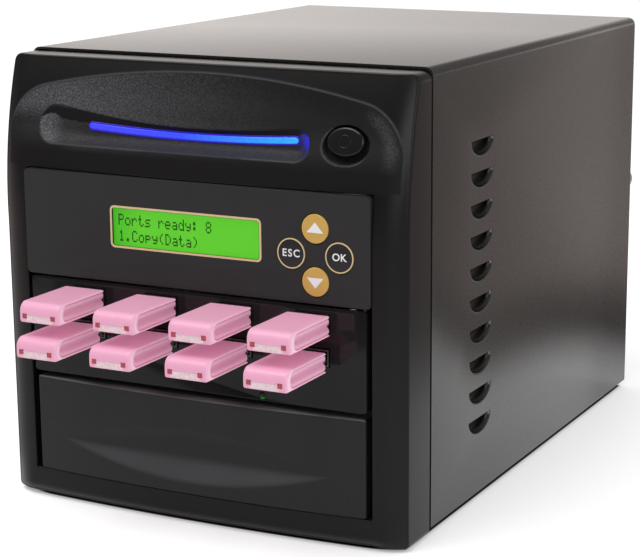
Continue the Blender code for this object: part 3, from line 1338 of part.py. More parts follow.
def build_inlet(look, pin_look):
    """Three-pin mains inlet, open to the rear."""
    rear = SUPPLY_REAR_Y + GAP + INLET_FLANGE[1]
    flange = slab_span(INLET_X, INLET_Z, INLET_FLANGE, SUPPLY_REAR_Y + GAP)
    inlet = place(boxes_mesh("power_inlet", [flange]), "power_inlet", look)
    body = (INLET_BODY[0], INLET_BODY[1] + GAP, INLET_BODY[2])
    body_y = SUPPLY_REAR_Y - INLET_BODY[1] + GAP
    join(inlet, boxes_mesh("inlet_body", [slab_span(INLET_X, INLET_Z, body, body_y)]))
    well = (INLET_WELL[0], INLET_WELL[1] + OVERRUN, INLET_WELL[2])
    cut(inlet, boxes_mesh("inlet_well", [slab_span(INLET_X, INLET_Z, well, rear - INLET_WELL[1])]))
    pins = []
    step = INLET_PIN_STEP / 2
    for x, z in ((-INLET_PIN_SPREAD, -step), (0, step), (INLET_PIN_SPREAD, -step)):
        pins.append(slab_span(INLET_X + x, INLET_Z + z, INLET_PIN, rear - INLET_WELL[1] - GAP))
    join(inlet, boxes_mesh("inlet_pins", pins))


def build_mains_switch(look, rocker_look):
    """Rocker switch: a framed body and the rocker that tips in it."""
    flange = slab_span(INLET_X, MAINS_Z, MAINS_FLANGE, SUPPLY_REAR_Y + GAP)
    frame = place(boxes_mesh("mains_switch_frame", [flange]), "mains_switch_frame", look)
    body = (MAINS_BODY[0], MAINS_BODY[1] + GAP, MAINS_BODY[2])
    body_y = SUPPLY_REAR_Y - MAINS_BODY[1] + GAP
    join(frame, boxes_mesh("mains_body", [slab_span(INLET_X, MAINS_Z, body, body_y)]))
    axis_y = SUPPLY_REAR_Y + GAP
    swing = MAINS_ROCKER[1] / 2 * math.sin(math.radians(MAINS_TILT_DEG))
    well = (MAINS_ROCKER[0] + 2 * (swing + GAP), 2 * MAINS_ROCKER[1], MAINS_ROCKER[2] + 2 * SLIDING_GAP)
    cut(frame, boxes_mesh("mains_well", [slab_span(INLET_X, MAINS_Z, well, axis_y - MAINS_ROCKER[1])]))
    half = MAINS_ROCKER[0] / 2
    crest = MAINS_ROCKER[1] / 2
    dip = half * math.tan(math.radians(MAINS_TILT_DEG))
    outline = [(-half, -crest / 2), (half, -crest / 2), (half, crest + dip), (0, crest), (-half, crest + dip)]
    mesh = plan_slab("mains_rocker", [outline], -MAINS_ROCKER[2] / 2, MAINS_ROCKER[2] / 2)
    rocker = place(mesh, "mains_rocker", rocker_look, (INLET_X, axis_y, MAINS_Z))
    rocker.rotation_euler = (0, 0, math.radians(MAINS_TILT_DEG))


# Controller board

def build_controller(look):
    """Copy controller on four posts, with its chips and memory strip."""
    top_of_tray = TRAY_TOP_Z + GAP
    low = top_of_tray + CONTROLLER_STANDOFF
    half_x = CONTROLLER_SIZE[0] / 2
    half_y = CONTROLLER_SIZE[1] / 2
    high = low + CONTROLLER_SIZE[2]
    span = ((-half_x, CONTROLLER_Y - half_y, low), (half_x, CONTROLLER_Y + half_y, high))
    board = place(boxes_mesh("controller_board", [span]), "controller_board", look)
    posts = bmesh.new()
    for a in (-1, 1):
        for b in (-1, 1):
            x = a * (half_x - CONTROLLER_POST_INSET)
            y = CONTROLLER_Y + b * (half_y - CONTROLLER_POST_INSET)
            length = CONTROLLER_STANDOFF + CONTROLLER_SIZE[2] / 2
            add_round(posts, CONTROLLER_POST_RADIUS, length, (x, y, top_of_tray + length / 2), (0, 0, 1), 10)
    join(board, to_mesh(posts, "controller_posts"))
    chip_y = CONTROLLER_Y - half_y / 2
    parts = []
    for x in (-CHIP_SIZE[0], CHIP_SIZE[0]):
        parts.append(((x - CHIP_SIZE[0] / 2, chip_y - CHIP_SIZE[1] / 2, high - GAP),
                      (x + CHIP_SIZE[0] / 2, chip_y + CHIP_SIZE[1] / 2, high + CHIP_SIZE[2])))
    strip_y = CONTROLLER_Y + half_y - 2 * SOCKET_STRIP[1]
    parts.append(((-SOCKET_STRIP[0] / 2, strip_y, high - GAP),
                  (SOCKET_STRIP[0] / 2, strip_y + SOCKET_STRIP[1], high + SOCKET_STRIP[2])))
    join(board, boxes_mesh("controller_chips", parts))


def shade(item):
    """Smooth the round surfaces and keep the real edges sharp."""
    if item.type == "MESH":
        item.data.shade_smooth()
        item.data.set_sharp_from_angle(angle=math.radians(SMOOTH_ANGLE_DEG))


def main():
    """Build every piece."""
    clear_scene()
    make_collections()
    black_steel = material("cover_black_steel", (0.030, 0.029, 0.028), 0.42, 0.0)
    zinc = material("zinc_steel", (0.55, 0.56, 0.57), 0.40, 1.0)
    bezel_black = material("bezel_black", (0.016, 0.016, 0.017), 0.48)
    blue_light = material("blue_light", (0.05, 0.12, 1.0), 0.3, 0.0, 6.0)
    build_cover(black_steel)
    build_tray(zinc)
    build_front_frame(zinc)
    build_bay_cage(zinc)
    build_rear_panel(black_steel)
    build_screws(material("screw_steel", (0.60, 0.60, 0.61), 0.30, 1.0))
    build_feet(material("foot_rubber", (0.020, 0.020, 0.020), 0.85))
    build_bezel(bezel_black)
    build_light_bar(blue_light)
    build_power_button(material("button_black", (0.020, 0.020, 0.022), 0.35),
                       material("switch_black", (0.030, 0.030, 0.030), 0.50))
    build_control_panel(material("overlay_grey", (0.038, 0.038, 0.040), 0.45))
    build_display(material("clear_pane", (0.80, 0.90, 0.80), 0.05),
                  material("lcd_green", (0.10, 0.62, 0.03), 0.35, 0.0, 1.0))
    build_keys(material("key_gold", (0.58, 0.38, 0.10), 0.30, 0.8),
               material("key_dark", (0.040, 0.038, 0.036), 0.35))
    board = material("board_green", (0.020, 0.110, 0.045), 0.45)
    build_keypad_board(board)
    build_usb_panel(material("plate_gloss", (0.022, 0.023, 0.024), 0.08))
    build_status_led(material("led_green", (0.15, 0.80, 0.10), 0.3, 0.0, 2.0))
    build_ports(material("port_steel", (0.70, 0.70, 0.71), 0.25, 1.0), board)
    build_drives(material("drive_pink", (0.86, 0.40, 0.55), 0.38),
                 material("plug_steel", (0.72, 0.72, 0.73), 0.22, 1.0))
    build_blank(material("blank_black", (0.018, 0.018, 0.019), 0.22))
    build_supply(material("supply_steel", (0.45, 0.46, 0.47), 0.38, 1.0))
    build_fan(material("fan_black", (0.020, 0.020, 0.020), 0.45),
              material("rotor_black", (0.024, 0.024, 0.024), 0.35),
              material("guard_chrome", (0.75, 0.75, 0.76), 0.18, 1.0))
    build_inlet(material("inlet_black", (0.018, 0.018, 0.018), 0.40), zinc)
    build_mains_switch(material("mains_black", (0.020, 0.020, 0.020), 0.40),
                       material("rocker_black", (0.026, 0.026, 0.026), 0.25))
    build_controller(board)
    for item in [*PARTS.objects, *CUTTERS.objects]:
        shade(item)


main()
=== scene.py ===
# %% [markdown]
# # A copying tower for flash drives
#
# The real thing is a small steel case with a moulded plastic front. Three bays sit in the
# front: a display with four keys, a plate with eight plugged-in flash drives, and a blank
# cover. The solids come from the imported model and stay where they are. This lesson gives
# each visible piece the shape and finish that it has on the real machine.

import math

import bmesh
import bpy
import numpy as np
from mathutils import Matrix, Vector


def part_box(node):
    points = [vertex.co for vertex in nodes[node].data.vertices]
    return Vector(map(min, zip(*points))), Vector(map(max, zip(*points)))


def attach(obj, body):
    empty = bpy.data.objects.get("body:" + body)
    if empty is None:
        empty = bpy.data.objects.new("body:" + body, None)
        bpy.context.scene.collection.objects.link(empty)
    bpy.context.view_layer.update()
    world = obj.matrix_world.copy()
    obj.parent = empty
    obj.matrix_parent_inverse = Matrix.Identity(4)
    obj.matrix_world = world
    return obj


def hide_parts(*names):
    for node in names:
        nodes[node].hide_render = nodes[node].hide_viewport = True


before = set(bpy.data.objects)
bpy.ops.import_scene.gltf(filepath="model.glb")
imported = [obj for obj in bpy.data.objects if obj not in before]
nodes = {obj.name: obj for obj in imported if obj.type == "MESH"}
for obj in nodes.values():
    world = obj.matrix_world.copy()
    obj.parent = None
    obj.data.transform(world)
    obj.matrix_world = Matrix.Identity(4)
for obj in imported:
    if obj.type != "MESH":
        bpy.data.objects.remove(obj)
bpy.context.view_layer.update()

# %% [markdown]
# Every length below is in metres. Shapes are drawn from two planes of the machine: the seam
# between the plastic front and the steel cover, and the cover's lower edge. `settle` moves a
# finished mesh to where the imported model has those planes.

# %% Seam and foot of the case
CASE_LOW, CASE_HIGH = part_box("outer_cover")
ORIGIN = Vector((0, CASE_LOW.y, CASE_LOW.z))
HALF_CASE, CASE_END, CASE_TOP = CASE_HIGH - ORIGIN
print("case: %.4f wide, %.4f high, %.4f deep" % (2 * HALF_CASE, CASE_TOP, CASE_END))


def local_box(node):
    """Corners of a solid, measured from the seam and the foot."""
    low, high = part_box(node)
    return low - ORIGIN, high - ORIGIN


def front_of(node):
    """Middle and half size of a solid, in X and Z."""
    low, high = local_box(node)
    return ((low.x + high.x) / 2, (low.z + high.z) / 2), ((high.x - low.x) / 2, (high.z - low.z) / 2)


def put(name, data):
    """Add an object to the scene."""
    item = bpy.data.objects.new(name, data)
    bpy.context.scene.collection.objects.link(item)
    return item


# %% [markdown]
# ## Camera
# The photograph was taken from the front right, a little above the top. The focal length,
# the turn and the shift were solved from the corners of the case and of the bay fronts.

# %% Camera at the photograph's angle
LENS_PIXELS = 1893.6
FRAME_WIDTH = 640
FRAME_HEIGHT = 557
SENSOR_MM = 36
YAW = math.radians(25.462)
PITCH = math.radians(13.2525)
CAMERA_PLACE = Vector((0.36464, -0.70736, 0.25336))
SIGHT_CENTRE = (388.04, 296.68)

lens = bpy.data.cameras.new("camera")
lens.sensor_width = SENSOR_MM
lens.lens = LENS_PIXELS * SENSOR_MM / FRAME_WIDTH
lens.shift_x = (FRAME_WIDTH / 2 - SIGHT_CENTRE[0]) / FRAME_WIDTH
lens.shift_y = (SIGHT_CENTRE[1] - FRAME_HEIGHT / 2) / FRAME_WIDTH
lens.clip_start = 0.01
forward = Vector((-math.sin(YAW) * math.cos(PITCH), math.cos(YAW) * math.cos(PITCH), -math.sin(PITCH)))
rightward = Vector((math.cos(YAW), math.sin(YAW), 0))
turn = Matrix((rightward, rightward.cross(forward), -forward)).transposed()
camera = put("camera", lens)
camera.matrix_world = Matrix.Translation(CAMERA_PLACE) @ turn.to_4x4()
bpy.context.scene.camera = camera
print("lens: %.1f mm, shift: %.3f %.3f" % (lens.lens, lens.shift_x, lens.shift_y))

# %% [markdown]
# ## Small helpers
# A piece starts as a mesh. `settle` puts its place into the mesh, gives it its material and
# lets it ride on a body. Round surfaces are smooth, and edges sharper than a limit stay crisp.

# %% Helpers for pieces
UPRIGHT = Matrix.Rotation(math.pi / 2, 4, "X")
WELD = 0.000002


def settle(mesh, name, look, stands_for=None, body="case", crisp=32.0):
    """Make a piece of the object from a mesh."""
    mesh.transform(Matrix.Translation(ORIGIN))
    mesh.shade_smooth()
    mesh.set_sharp_from_angle(angle=math.radians(crisp))
    for one in look if isinstance(look, list) else [look]:
        mesh.materials.append(one)
    piece = put(name, mesh)
    if stands_for:
        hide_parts(stands_for)
    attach(piece, body)
    print(name, "has", len(mesh.polygons), "faces")


def finished(bm):
    """Turn a bmesh into a mesh whose faces point out."""
    bmesh.ops.recalc_face_normals(bm, faces=bm.faces)
    mesh = bpy.data.meshes.new("shape")
    bm.to_mesh(mesh)
    bm.free()
    return mesh


def baked(data, *steps):
    """Evaluate a curve, or a mesh with modifiers, and return a plain mesh."""
    holder = put("holder", data)
    for kind, settings in steps:
        step = holder.modifiers.new(kind.lower(), kind)
        for key, value in settings.items():
            if key.startswith("Socket"):
                step[key] = value
            else:
                setattr(step, key, value)
    graph = bpy.context.evaluated_depsgraph_get()
    mesh = bpy.data.meshes.new_from_object(holder.evaluated_get(graph))
    bpy.data.objects.remove(holder, do_unlink=True)
    return mesh


# %% Helpers for outlines in X and Z
def arc(centre, radius, start_deg, end_deg, steps):
    """Points along an arc, both ends included."""
    angles = np.radians(np.linspace(start_deg, end_deg, steps + 1))
    return [(centre[0] + radius * math.cos(a), centre[1] + radius * math.sin(a)) for a in angles]


def ellipse(middle, half, steps):
    """Points round an ellipse."""
    return [(middle[0] + half[0] * math.cos(a), middle[1] + half[1] * math.sin(a))
            for a in np.linspace(0, 2 * math.pi, steps, endpoint=False)]


def circle(middle, radius, steps=48):
    """Points round a circle."""
    return ellipse(middle, (radius, radius), steps)


def rounded_outline(middle, half, radius, steps):
    """Rounded rectangle, anticlockwise seen from the front."""
    x, z = half[0] - radius, half[1] - radius
    points = []
    for cx, cz, start in ((x, z, 0), (-x, z, 90), (-x, -z, 180), (x, -z, 270)):
        points += arc((middle[0] + cx, middle[1] + cz), radius, start, start + 90, steps)
    return points


def mirrored(points):
    """The same points on the other side, in the order that goes on from them."""
    return [(-x, z) for x, z in reversed(points)]


def stood_up(curve, place):
    """A curve as a welded mesh that stands in X and Z."""
    bm = bmesh.new()
    bm.from_mesh(baked(curve))
    bmesh.ops.remove_doubles(bm, verts=bm.verts, dist=WELD)
    mesh = finished(bm)
    mesh.transform(Matrix.Translation(place) @ UPRIGHT)
    return mesh


def flat_shape(loops, y_front, y_rear, edge=0.0, steps=2):
    """Extrude outlines, with softly rounded rims."""
    curve = bpy.data.curves.new("outline", "CURVE")
    curve.dimensions = "2D"
    curve.fill_mode = "BOTH"
    curve.extrude = (y_rear - y_front) / 2 - edge
    curve.bevel_depth = edge
    curve.bevel_resolution = steps
    curve.offset = -edge
    for points in loops:
        spline = curve.splines.new("POLY")
        spline.points.add(len(points) - 1)
        for target, point in zip(spline.points, points):
            target.co = (*point, 0, 1)
        spline.use_cyclic_u = True
    return stood_up(curve, (0, (y_front + y_rear) / 2, 0))


# %% Helpers for faces
def loft(bm, rows, closed=True, ends=(), again=False):
    """Join rows of points with faces, close the named ends and return the rows of corners."""
    rows = [[bm.verts.new(point) for point in row] for row in rows]
    for near, far in zip(rows, rows[1:] + rows[:1] * again):
        for i in range(0 if closed else 1, len(near)):
            bm.faces.new((near[i - 1], near[i], far[i], far[i - 1]))
    for end in ends:
        bm.faces.new(rows[end])
    return rows


def fill(bm, *rings):
    """Fill the plane between closed rings of corners."""
    pairs = [pair for ring in rings for pair in zip(ring, ring[1:] + ring[:1])]
    edges = [bm.edges.get(pair) or bm.edges.new(pair) for pair in pairs]
    bmesh.ops.triangle_fill(bm, edges=edges, use_beauty=True)


def add_box(bm, low, high):
    """Add a box between two corners."""
    size = [b - a for a, b in zip(low, high)]
    middle = [(a + b) / 2 for a, b in zip(low, high)]
    bmesh.ops.create_cube(bm, size=1.0, matrix=Matrix.Translation(middle) @ Matrix.Diagonal((*size, 1.0)))


def rod(bm, start, end, radius, end_radius=None, segments=10):
    """Add a round rod, or a cone, between two points."""
    turned = (end - start).to_track_quat("Z", "Y").to_matrix().to_4x4()
    bmesh.ops.create_cone(bm, cap_ends=True, segments=segments, radius1=radius,
                          radius2=end_radius or radius, depth=(end - start).length,
                          matrix=Matrix.Translation((start + end) / 2) @ turned)


# %% [markdown]
# Materials, the world and Geometry Nodes are all node trees, so one small class adds nodes to
# them. Geometry Nodes make what repeats: a tree gets its sizes as named inputs, and `grow`
# sets those inputs by their identifiers, evaluates the tree and keeps a plain mesh.

# %% Helpers for node trees
class Nodes:
    """A node tree, with short ways to add to it and to feed its last node."""

    def __init__(self, owner, last="Principled BSDF"):
        self.tree = getattr(owner, "node_tree", owner)
        self.last = self.tree.nodes.get(last)

    def feed(self, target, source):
        """Link a socket to an input, or set the input's value."""
        if isinstance(source, bpy.types.NodeSocket):
            self.tree.links.new(source, target)
        else:
            target.default_value = source

    def add(self, kind, links=None, **settings):
        """Add a node, set its values and feed its inputs."""
        node = self.tree.nodes.new(kind)
        for key, value in settings.items():
            setattr(node, key, value)
        for label, source in (links or {}).items():
            self.feed(node.inputs[label], source)
        return node

    def into(self, **sources):
        """Feed inputs of the last node."""
        for label, source in sources.items():
            self.feed(self.last.inputs[label.replace("_", " ")], source)

    def maths(self, operation, *values):
        """Arithmetic on sockets or numbers."""
        return self.add("ShaderNodeMath", dict(enumerate(values)), operation=operation).outputs[0]

    def span(self, value, start, end, low=0.0, high=1.0, smooth=False):
        """Map one range to another, and hold it at the ends."""
        links = {"Value": value, "From Min": start, "From Max": end, "To Min": low, "To Max": high}
        kind = "SMOOTHSTEP" if smooth else "LINEAR"
        return self.add("ShaderNodeMapRange", links, interpolation_type=kind).outputs[0]

    def mix(self, factor, below, above):
        """Mix two colours, each a socket or three numbers."""
        below, above = ((*one, 1) if isinstance(one, tuple) else one for one in (below, above))
        node = self.add("ShaderNodeMix", {"Factor": factor}, data_type="RGBA")
        self.feed(node.inputs["A"], below)
        self.feed(node.inputs["B"], above)
        return node.outputs["Result"]

    def share(self, name):
        """A share that the mesh keeps at each point."""
        return self.add("ShaderNodeAttribute", attribute_name=name).outputs["Fac"]

    def axes(self, kind="Object"):
        """X, Y and Z of a place or a direction, and both as one vector."""
        spot = self.add("ShaderNodeTexCoord").outputs[kind]
        return (*self.add("ShaderNodeSeparateXYZ", {"Vector": spot}).outputs, spot)

    def place(self, stretch=(1, 1, 1)):
        """Object coordinates, stretched along the axes."""
        spot = self.add("ShaderNodeTexCoord").outputs["Object"]
        return self.add("ShaderNodeMapping", {"Vector": spot, "Scale": stretch}).outputs[0]

    def noise(self, scale, detail=2.0, stretch=(1, 1, 1)):
        """Noise between 0 and 1."""
        links = {"Vector": self.place(stretch), "Scale": scale, "Detail": detail}
        return self.add("ShaderNodeTexNoise", links).outputs["Fac"]

    def relief(self, scale, strength, depth, stretch=(1, 1, 1)):
        """Fine relief from noise; returns the noise."""
        noise = self.noise(scale, 3.0, stretch)
        links = {"Height": noise, "Strength": strength, "Distance": depth}
        self.into(Normal=self.add("ShaderNodeBump", links).outputs[0])
        return noise


# %% Helpers for Geometry Nodes
def new_tree(name, **inputs):
    """Start a Geometry Nodes tree with named number inputs; returns the tree and the inputs."""
    tree = bpy.data.node_groups.new(name, "GeometryNodeTree")
    for label, value in inputs.items():
        kind = "NodeSocketInt" if isinstance(value, int) else "NodeSocketFloat"
        tree.interface.new_socket(label, in_out="INPUT", socket_type=kind).default_value = value
    tree.interface.new_socket("Geometry", in_out="OUTPUT", socket_type="NodeSocketGeometry")
    n = Nodes(tree)
    return n, n.add("NodeGroupInput").outputs


def grow(n, geometry, look, **sizes):
    """End a tree in Realize Instances and Set Material, and evaluate it with the given sizes."""
    real = n.add("GeometryNodeRealizeInstances", {"Geometry": geometry}).outputs[0]
    dressed = n.add("GeometryNodeSetMaterial", {"Geometry": real, "Material": look}).outputs[0]
    n.add("NodeGroupOutput", {0: dressed})
    settings = {"node_group": n.tree}
    for item in n.tree.interface.items_tree:
        if item.in_out == "INPUT":
            settings[item.identifier] = sizes[item.name]
    mesh = baked(bpy.data.meshes.new("empty"), ("NODES", settings))
    mesh.materials.clear()
    return mesh


# %% [markdown]
# ## Finishes
# Each finish is a Principled shader. Numbers that are the same all over the surface stand
# on the shader's own sockets. What varies, such as grain and gloss, comes from noise in
# object coordinates, so it stays on the piece when the piece moves.

# %% A material and its grain
NOISE_MIDDLE = (0.3, 0.7)


def finish(name, colour, roughness, metallic=0.0, relief=None, shine=None, tones=None, detail=2.0,
           stretch=(1, 1, 1), **sockets):
    """A Principled material: noise can drive its relief, its roughness and its colour."""
    look = bpy.data.materials.new(name)
    look.use_nodes = True
    n = Nodes(look)
    n.into(Base_Color=(*colour, 1), Roughness=roughness, Metallic=metallic, **sockets)
    if relief:
        n.relief(*relief, stretch)
    if shine:
        n.into(Roughness=n.span(n.noise(shine[0], 2.0, stretch), *NOISE_MIDDLE, *shine[1:]))
    if tones:
        n.into(Base_Color=n.mix(n.noise(tones[0], detail), *tones[1:]))
    return look


# %% [markdown]
# The case wears a fine powder coat. The front is moulded black plastic with a coarse texture
# in the arch-shaped recess. Shares on the meshes say where that texture is and where light and
# shade are painted: painted shade deep in each louvre, painted light in the texture's strength,
# a painted highlight along some rims, and a painted glow where the light bar shines on the plastic.

# %% Black finishes
COAT = (0.020, 0.018, 0.017)
MOULDED = (0.007, 0.006, 0.006)

coat = finish("powder_coat_black", COAT, 0.25, relief=(2200, 0.20, 0.00005), shine=(1500, 0.22, 0.28))
n = Nodes(coat)
# Painted shade: deep in each louvre the coat turns almost black and loses its gloss.
louvre_shade = n.span(n.share("hollow"), 0.10, 0.62, smooth=True)
n.into(Base_Color=n.mix(louvre_shade, COAT, (0.0015, 0.0015, 0.0014)),
       Specular_IOR_Level=n.span(louvre_shade, 0, 1, 1.0, 0.05))

moulded = finish("moulded_black", MOULDED, 0.34)
n = Nodes(moulded)
# The grit share is the texture together with painted light and shade, the rim share is a painted highlight
# and the glow share is a painted glow of the light bar on the plastic.
grit_and_light = n.share("grit_and_light")
matt = n.share("matt")
noise = n.relief(1900, n.span(grit_and_light, 0, 1, 0.10, 1.0), 0.00010)
spark = n.maths("MULTIPLY", n.span(noise, 0.42, 0.76, 0.22, 0.90), grit_and_light)
pale = n.maths("MAXIMUM", n.share("rim"), spark)
n.into(Base_Color=n.mix(pale, MOULDED, (0.150, 0.154, 0.168)),
       Roughness=n.span(matt, 0, 2, 0.34, 0.76), Specular_IOR_Level=n.span(matt, 0, 2, 0.36, 0.08),
       Emission_Color=(0.012, 0.012, 1.0, 1), Emission_Strength=n.maths("MULTIPLY", n.share("glow"), 0.55))

blank_look = finish("blank_cover_black", (0.013, 0.0135, 0.0145), 0.40, relief=(1300, 0.35, 0.00010),
                    Specular_IOR_Level=0.42)
n = Nodes(blank_look)
plain = n.mix(n.noise(1100, 4.0), (0.008, 0.008, 0.009), (0.020, 0.021, 0.023))
# Painted light: the upward-facing lower part of the scoop is paler, and the rim share adds a painted
# highlight along the top edge.
lit_scoop = n.mix(n.share("slope"), plain, (0.062, 0.063, 0.066))
n.into(Base_Color=n.mix(n.share("rim"), lit_scoop, (0.200, 0.205, 0.215)))

film = finish("overlay_grey_film", (0.027, 0.027, 0.028), 0.50, relief=(3200, 0.12, 0.00004),
              Specular_IOR_Level=0.25)
gloss = finish("gloss_black", (0.010, 0.010, 0.0105), 0.12, relief=(90, 0.02, 0.0002),
               shine=(180, 0.04, 0.09), Specular_IOR_Level=0.30)
satin = finish("satin_black", (0.010, 0.010, 0.011), 0.24, relief=(140, 0.04, 0.0002),
               shine=(120, 0.20, 0.30), Specular_IOR_Level=0.45)
dark_plastic = finish("dark_plastic", (0.016, 0.016, 0.017), 0.38, relief=(1800, 0.2, 0.00008),
                      shine=(200, 0.32, 0.46))
dark_key = finish("dark_key", (0.022, 0.021, 0.021), 0.33, relief=(2600, 0.08, 0.00004),
                  shine=(300, 0.28, 0.40), Specular_IOR_Level=0.4)
rubber = finish("foot_rubber", (0.016, 0.016, 0.016), 0.82, relief=(900, 0.4, 0.0001),
                tones=(300, (0.013, 0.013, 0.013), (0.024, 0.024, 0.023)))

# %% [markdown]
# Bare metal has almost no colour of its own and shows what it reflects. So the metals differ
# mostly in roughness, and noise varies it a little, as handling does. The gold prints are
# paint with a little metal in it.

# %% Metals
zinc = finish("zinc_sheet", (0.55, 0.56, 0.57), 0.38, 1.0, relief=(700, 0.06, 0.0001),
              shine=(120, 0.30, 0.46), tones=(45, (0.46, 0.47, 0.49), (0.62, 0.63, 0.63)), detail=5.0)
plated = finish("plated_steel", (0.72, 0.72, 0.73), 0.22, 1.0, relief=(1500, 0.06, 0.00005),
                shine=(900, 0.16, 0.32), stretch=(1, 0.06, 1))
chrome = finish("bright_wire", (0.78, 0.78, 0.79), 0.14, 1.0, relief=(800, 0.03, 0.00004),
                shine=(400, 0.10, 0.22))
port_steel = finish("port_steel", (0.15, 0.14, 0.13), 0.45, 1.0, relief=(1500, 0.06, 0.00005),
                    shine=(900, 0.38, 0.52))
gold = finish("gold_print", (0.64, 0.39, 0.095), 0.42, 0.15, relief=(1400, 0.08, 0.00004),
              shine=(700, 0.36, 0.50), tones=(240, (0.60, 0.35, 0.075), (0.68, 0.44, 0.12)))
pale_gold = finish("pale_gold_line", (0.70, 0.55, 0.30), 0.40, 0.10, relief=(1400, 0.06, 0.00004),
                   tones=(300, (0.64, 0.49, 0.24), (0.76, 0.61, 0.36)))
silver = finish("window_bar", (0.92, 0.86, 0.88), 0.18, 0.3, shine=(900, 0.12, 0.3))

# %% [markdown]
# The drives are pink plastic with small pale flecks in it. A Voronoi pattern gives the
# flecks: where a point is close to a cell's middle, the colour is paler. A weak emission of
# the same colour is painted light that lifts the drives where they lie in shade.

# %% Coloured finishes
pink = finish("pink_sparkle", (0.84, 0.40, 0.56), 0.36, relief=(2400, 0.08, 0.00005),
              Specular_IOR_Level=0.5)
n = Nodes(pink)
fleck = n.add("ShaderNodeTexVoronoi", {"Vector": n.place(), "Scale": 3200}).outputs["Distance"]
body = n.mix(n.span(fleck, 0.12, 0.24, 0.55, 0.0), (0.637, 0.295, 0.428), (0.81, 0.62, 0.69))
# Painted shade darkens the pink along the side groove, and a painted highlight pales it along the ridges
# and the rims.
pink_with_crease_shade = n.mix(n.share("crease"), body, (0.64, 0.24, 0.38))
pink_with_painted_light = n.mix(n.share("ridge"), pink_with_crease_shade, (0.97, 0.72, 0.82))
n.into(Base_Color=pink_with_painted_light, Emission_Color=pink_with_painted_light, Emission_Strength=0.28)

board = finish("circuit_board", (0.020, 0.110, 0.045), 0.40, relief=(900, 0.15, 0.00006),
               tones=(500, (0.015, 0.085, 0.035), (0.030, 0.150, 0.060)))
white_print = finish("white_print", (0.80, 0.80, 0.81), 0.45, relief=(2500, 0.06, 0.00003))
rose = finish("rose_insert", (0.62, 0.06, 0.10), 0.22,
              tones=(1500, (0.20, 0.02, 0.035), (0.62, 0.10, 0.13)), detail=4.0)
clear_skirt = finish("clear_window", (0.76, 0.55, 0.56), 0.12, relief=(1600, 0.35, 0.00010),
                     tones=(1000, (0.68, 0.40, 0.46), (0.94, 0.80, 0.82)), detail=4.0,
                     Specular_IOR_Level=0.6)
print("finishes:", len(bpy.data.materials))

# %% [markdown]
# ## Solids that keep their shape
# Plain sheets, boards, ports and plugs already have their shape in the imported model. Their
# faces come in loose, so they are welded, their edges are broken by a small bevel, and real
# edges stay crisp.

# %% Keep a solid and give it a finish
FACE_WELD = 0.00001


def keep(look, names, edge=0.0, crisp=34.0):
    """Weld the faces of solids, soften their edges and give them a finish."""
    for name in names:
        solid = nodes[name]
        solid.data.shade_smooth()
        solid.data.materials.clear()
        solid.data.materials.append(look)
        solid.modifiers.new("weld", "WELD").merge_threshold = FACE_WELD
        if edge:
            soften = solid.modifiers.new("soften", "BEVEL")
            soften.width = edge
            soften.segments = 2
            soften.limit_method = "ANGLE"
            soften.angle_limit = math.radians(40)
        solid.modifiers.new("split", "EDGE_SPLIT").split_angle = math.radians(crisp)
    print("kept:", ", ".join(names))


keep(coat, ["rear_panel"])
keep(zinc, ["base_tray", "front_frame", "bay_cage", "power_supply"])
keep(board, ["keypad_board", "usb_hub_board", "controller_board", "lcd_module"])
keep(dark_plastic, ["power_switch", "power_inlet", "mains_switch_frame", "fan_frame"], 0.0003)
keep(dark_plastic, ["control_panel"], 0.00015)
keep(gloss, ["usb_panel"], 0.0003, 50.0)
keep(satin, ["mains_rocker"], 0.0003)
keep(satin, ["fan_rotor"])
keep(rubber, ["foot_front_left", "foot_front_right", "foot_rear_left", "foot_rear_right"], 0.0005)
keep(port_steel, ["usb_socket_%d" % number for number in range(1, 9)])
keep(plated, ["drive_%d_plug" % number for number in range(1, 9)])

# %% [markdown]
# ## The steel cover and its louvres
# The cover is one sheet, folded over the sides. Each louvre is a half dish pressed inward:
# its round edge runs smoothly out of the sheet, and its straight upper edge is cut free, so
# air passes there. The side is drawn as an outline with half-moon holes, Geometry Nodes make
# the row of dishes for them, and a Solidify modifier gives everything the sheet's thickness.

# %% Shape of a louvre
LOUVRE_COUNT = 10
LOUVRE_PITCH = 0.01239
LOUVRE_TOP = 0.14265
LOUVRE_Y = 0.0470
LOUVRE_LENGTH = 0.0219
LOUVRE_HEIGHT = 0.0064
LOUVRE_DEPTH = 0.0036
LIP = 0.00035
MARGIN = 0.0005
MOON_STEPS = 20


def moon(share, grow_by=0.0):
    """Half ellipse below a straight edge, in Y and Z, from rear to front."""
    half, height = LOUVRE_LENGTH / 2 * share + grow_by, LOUVRE_HEIGHT * share + grow_by
    angles = np.linspace(0, -math.pi, MOON_STEPS + 1)
    return [(half * math.cos(a), height * math.sin(a)) for a in angles]


HOLE = moon(1.0, LIP + MARGIN)


def build_dish():
    """One louvre dish as a surface: the lip rolls in, then the dish; its depth runs along -X."""
    rings = [(HOLE, 0.0)]
    for turn in np.radians((0, 30, 60, 90)):
        rings.append((moon(1.0, LIP * (1 - math.sin(turn))), LIP * (1 - math.cos(turn))))
    for turn in np.radians((16, 30, 43, 55, 66, 76, 84)):
        rings.append((moon(math.cos(turn)), LIP + (LOUVRE_DEPTH - LIP) * math.sin(turn)))
    bm = bmesh.new()
    loft(bm, [[(-depth, y, z) for y, z in points] for points, depth in rings], closed=False, ends=(-1,))
    return finished(bm)


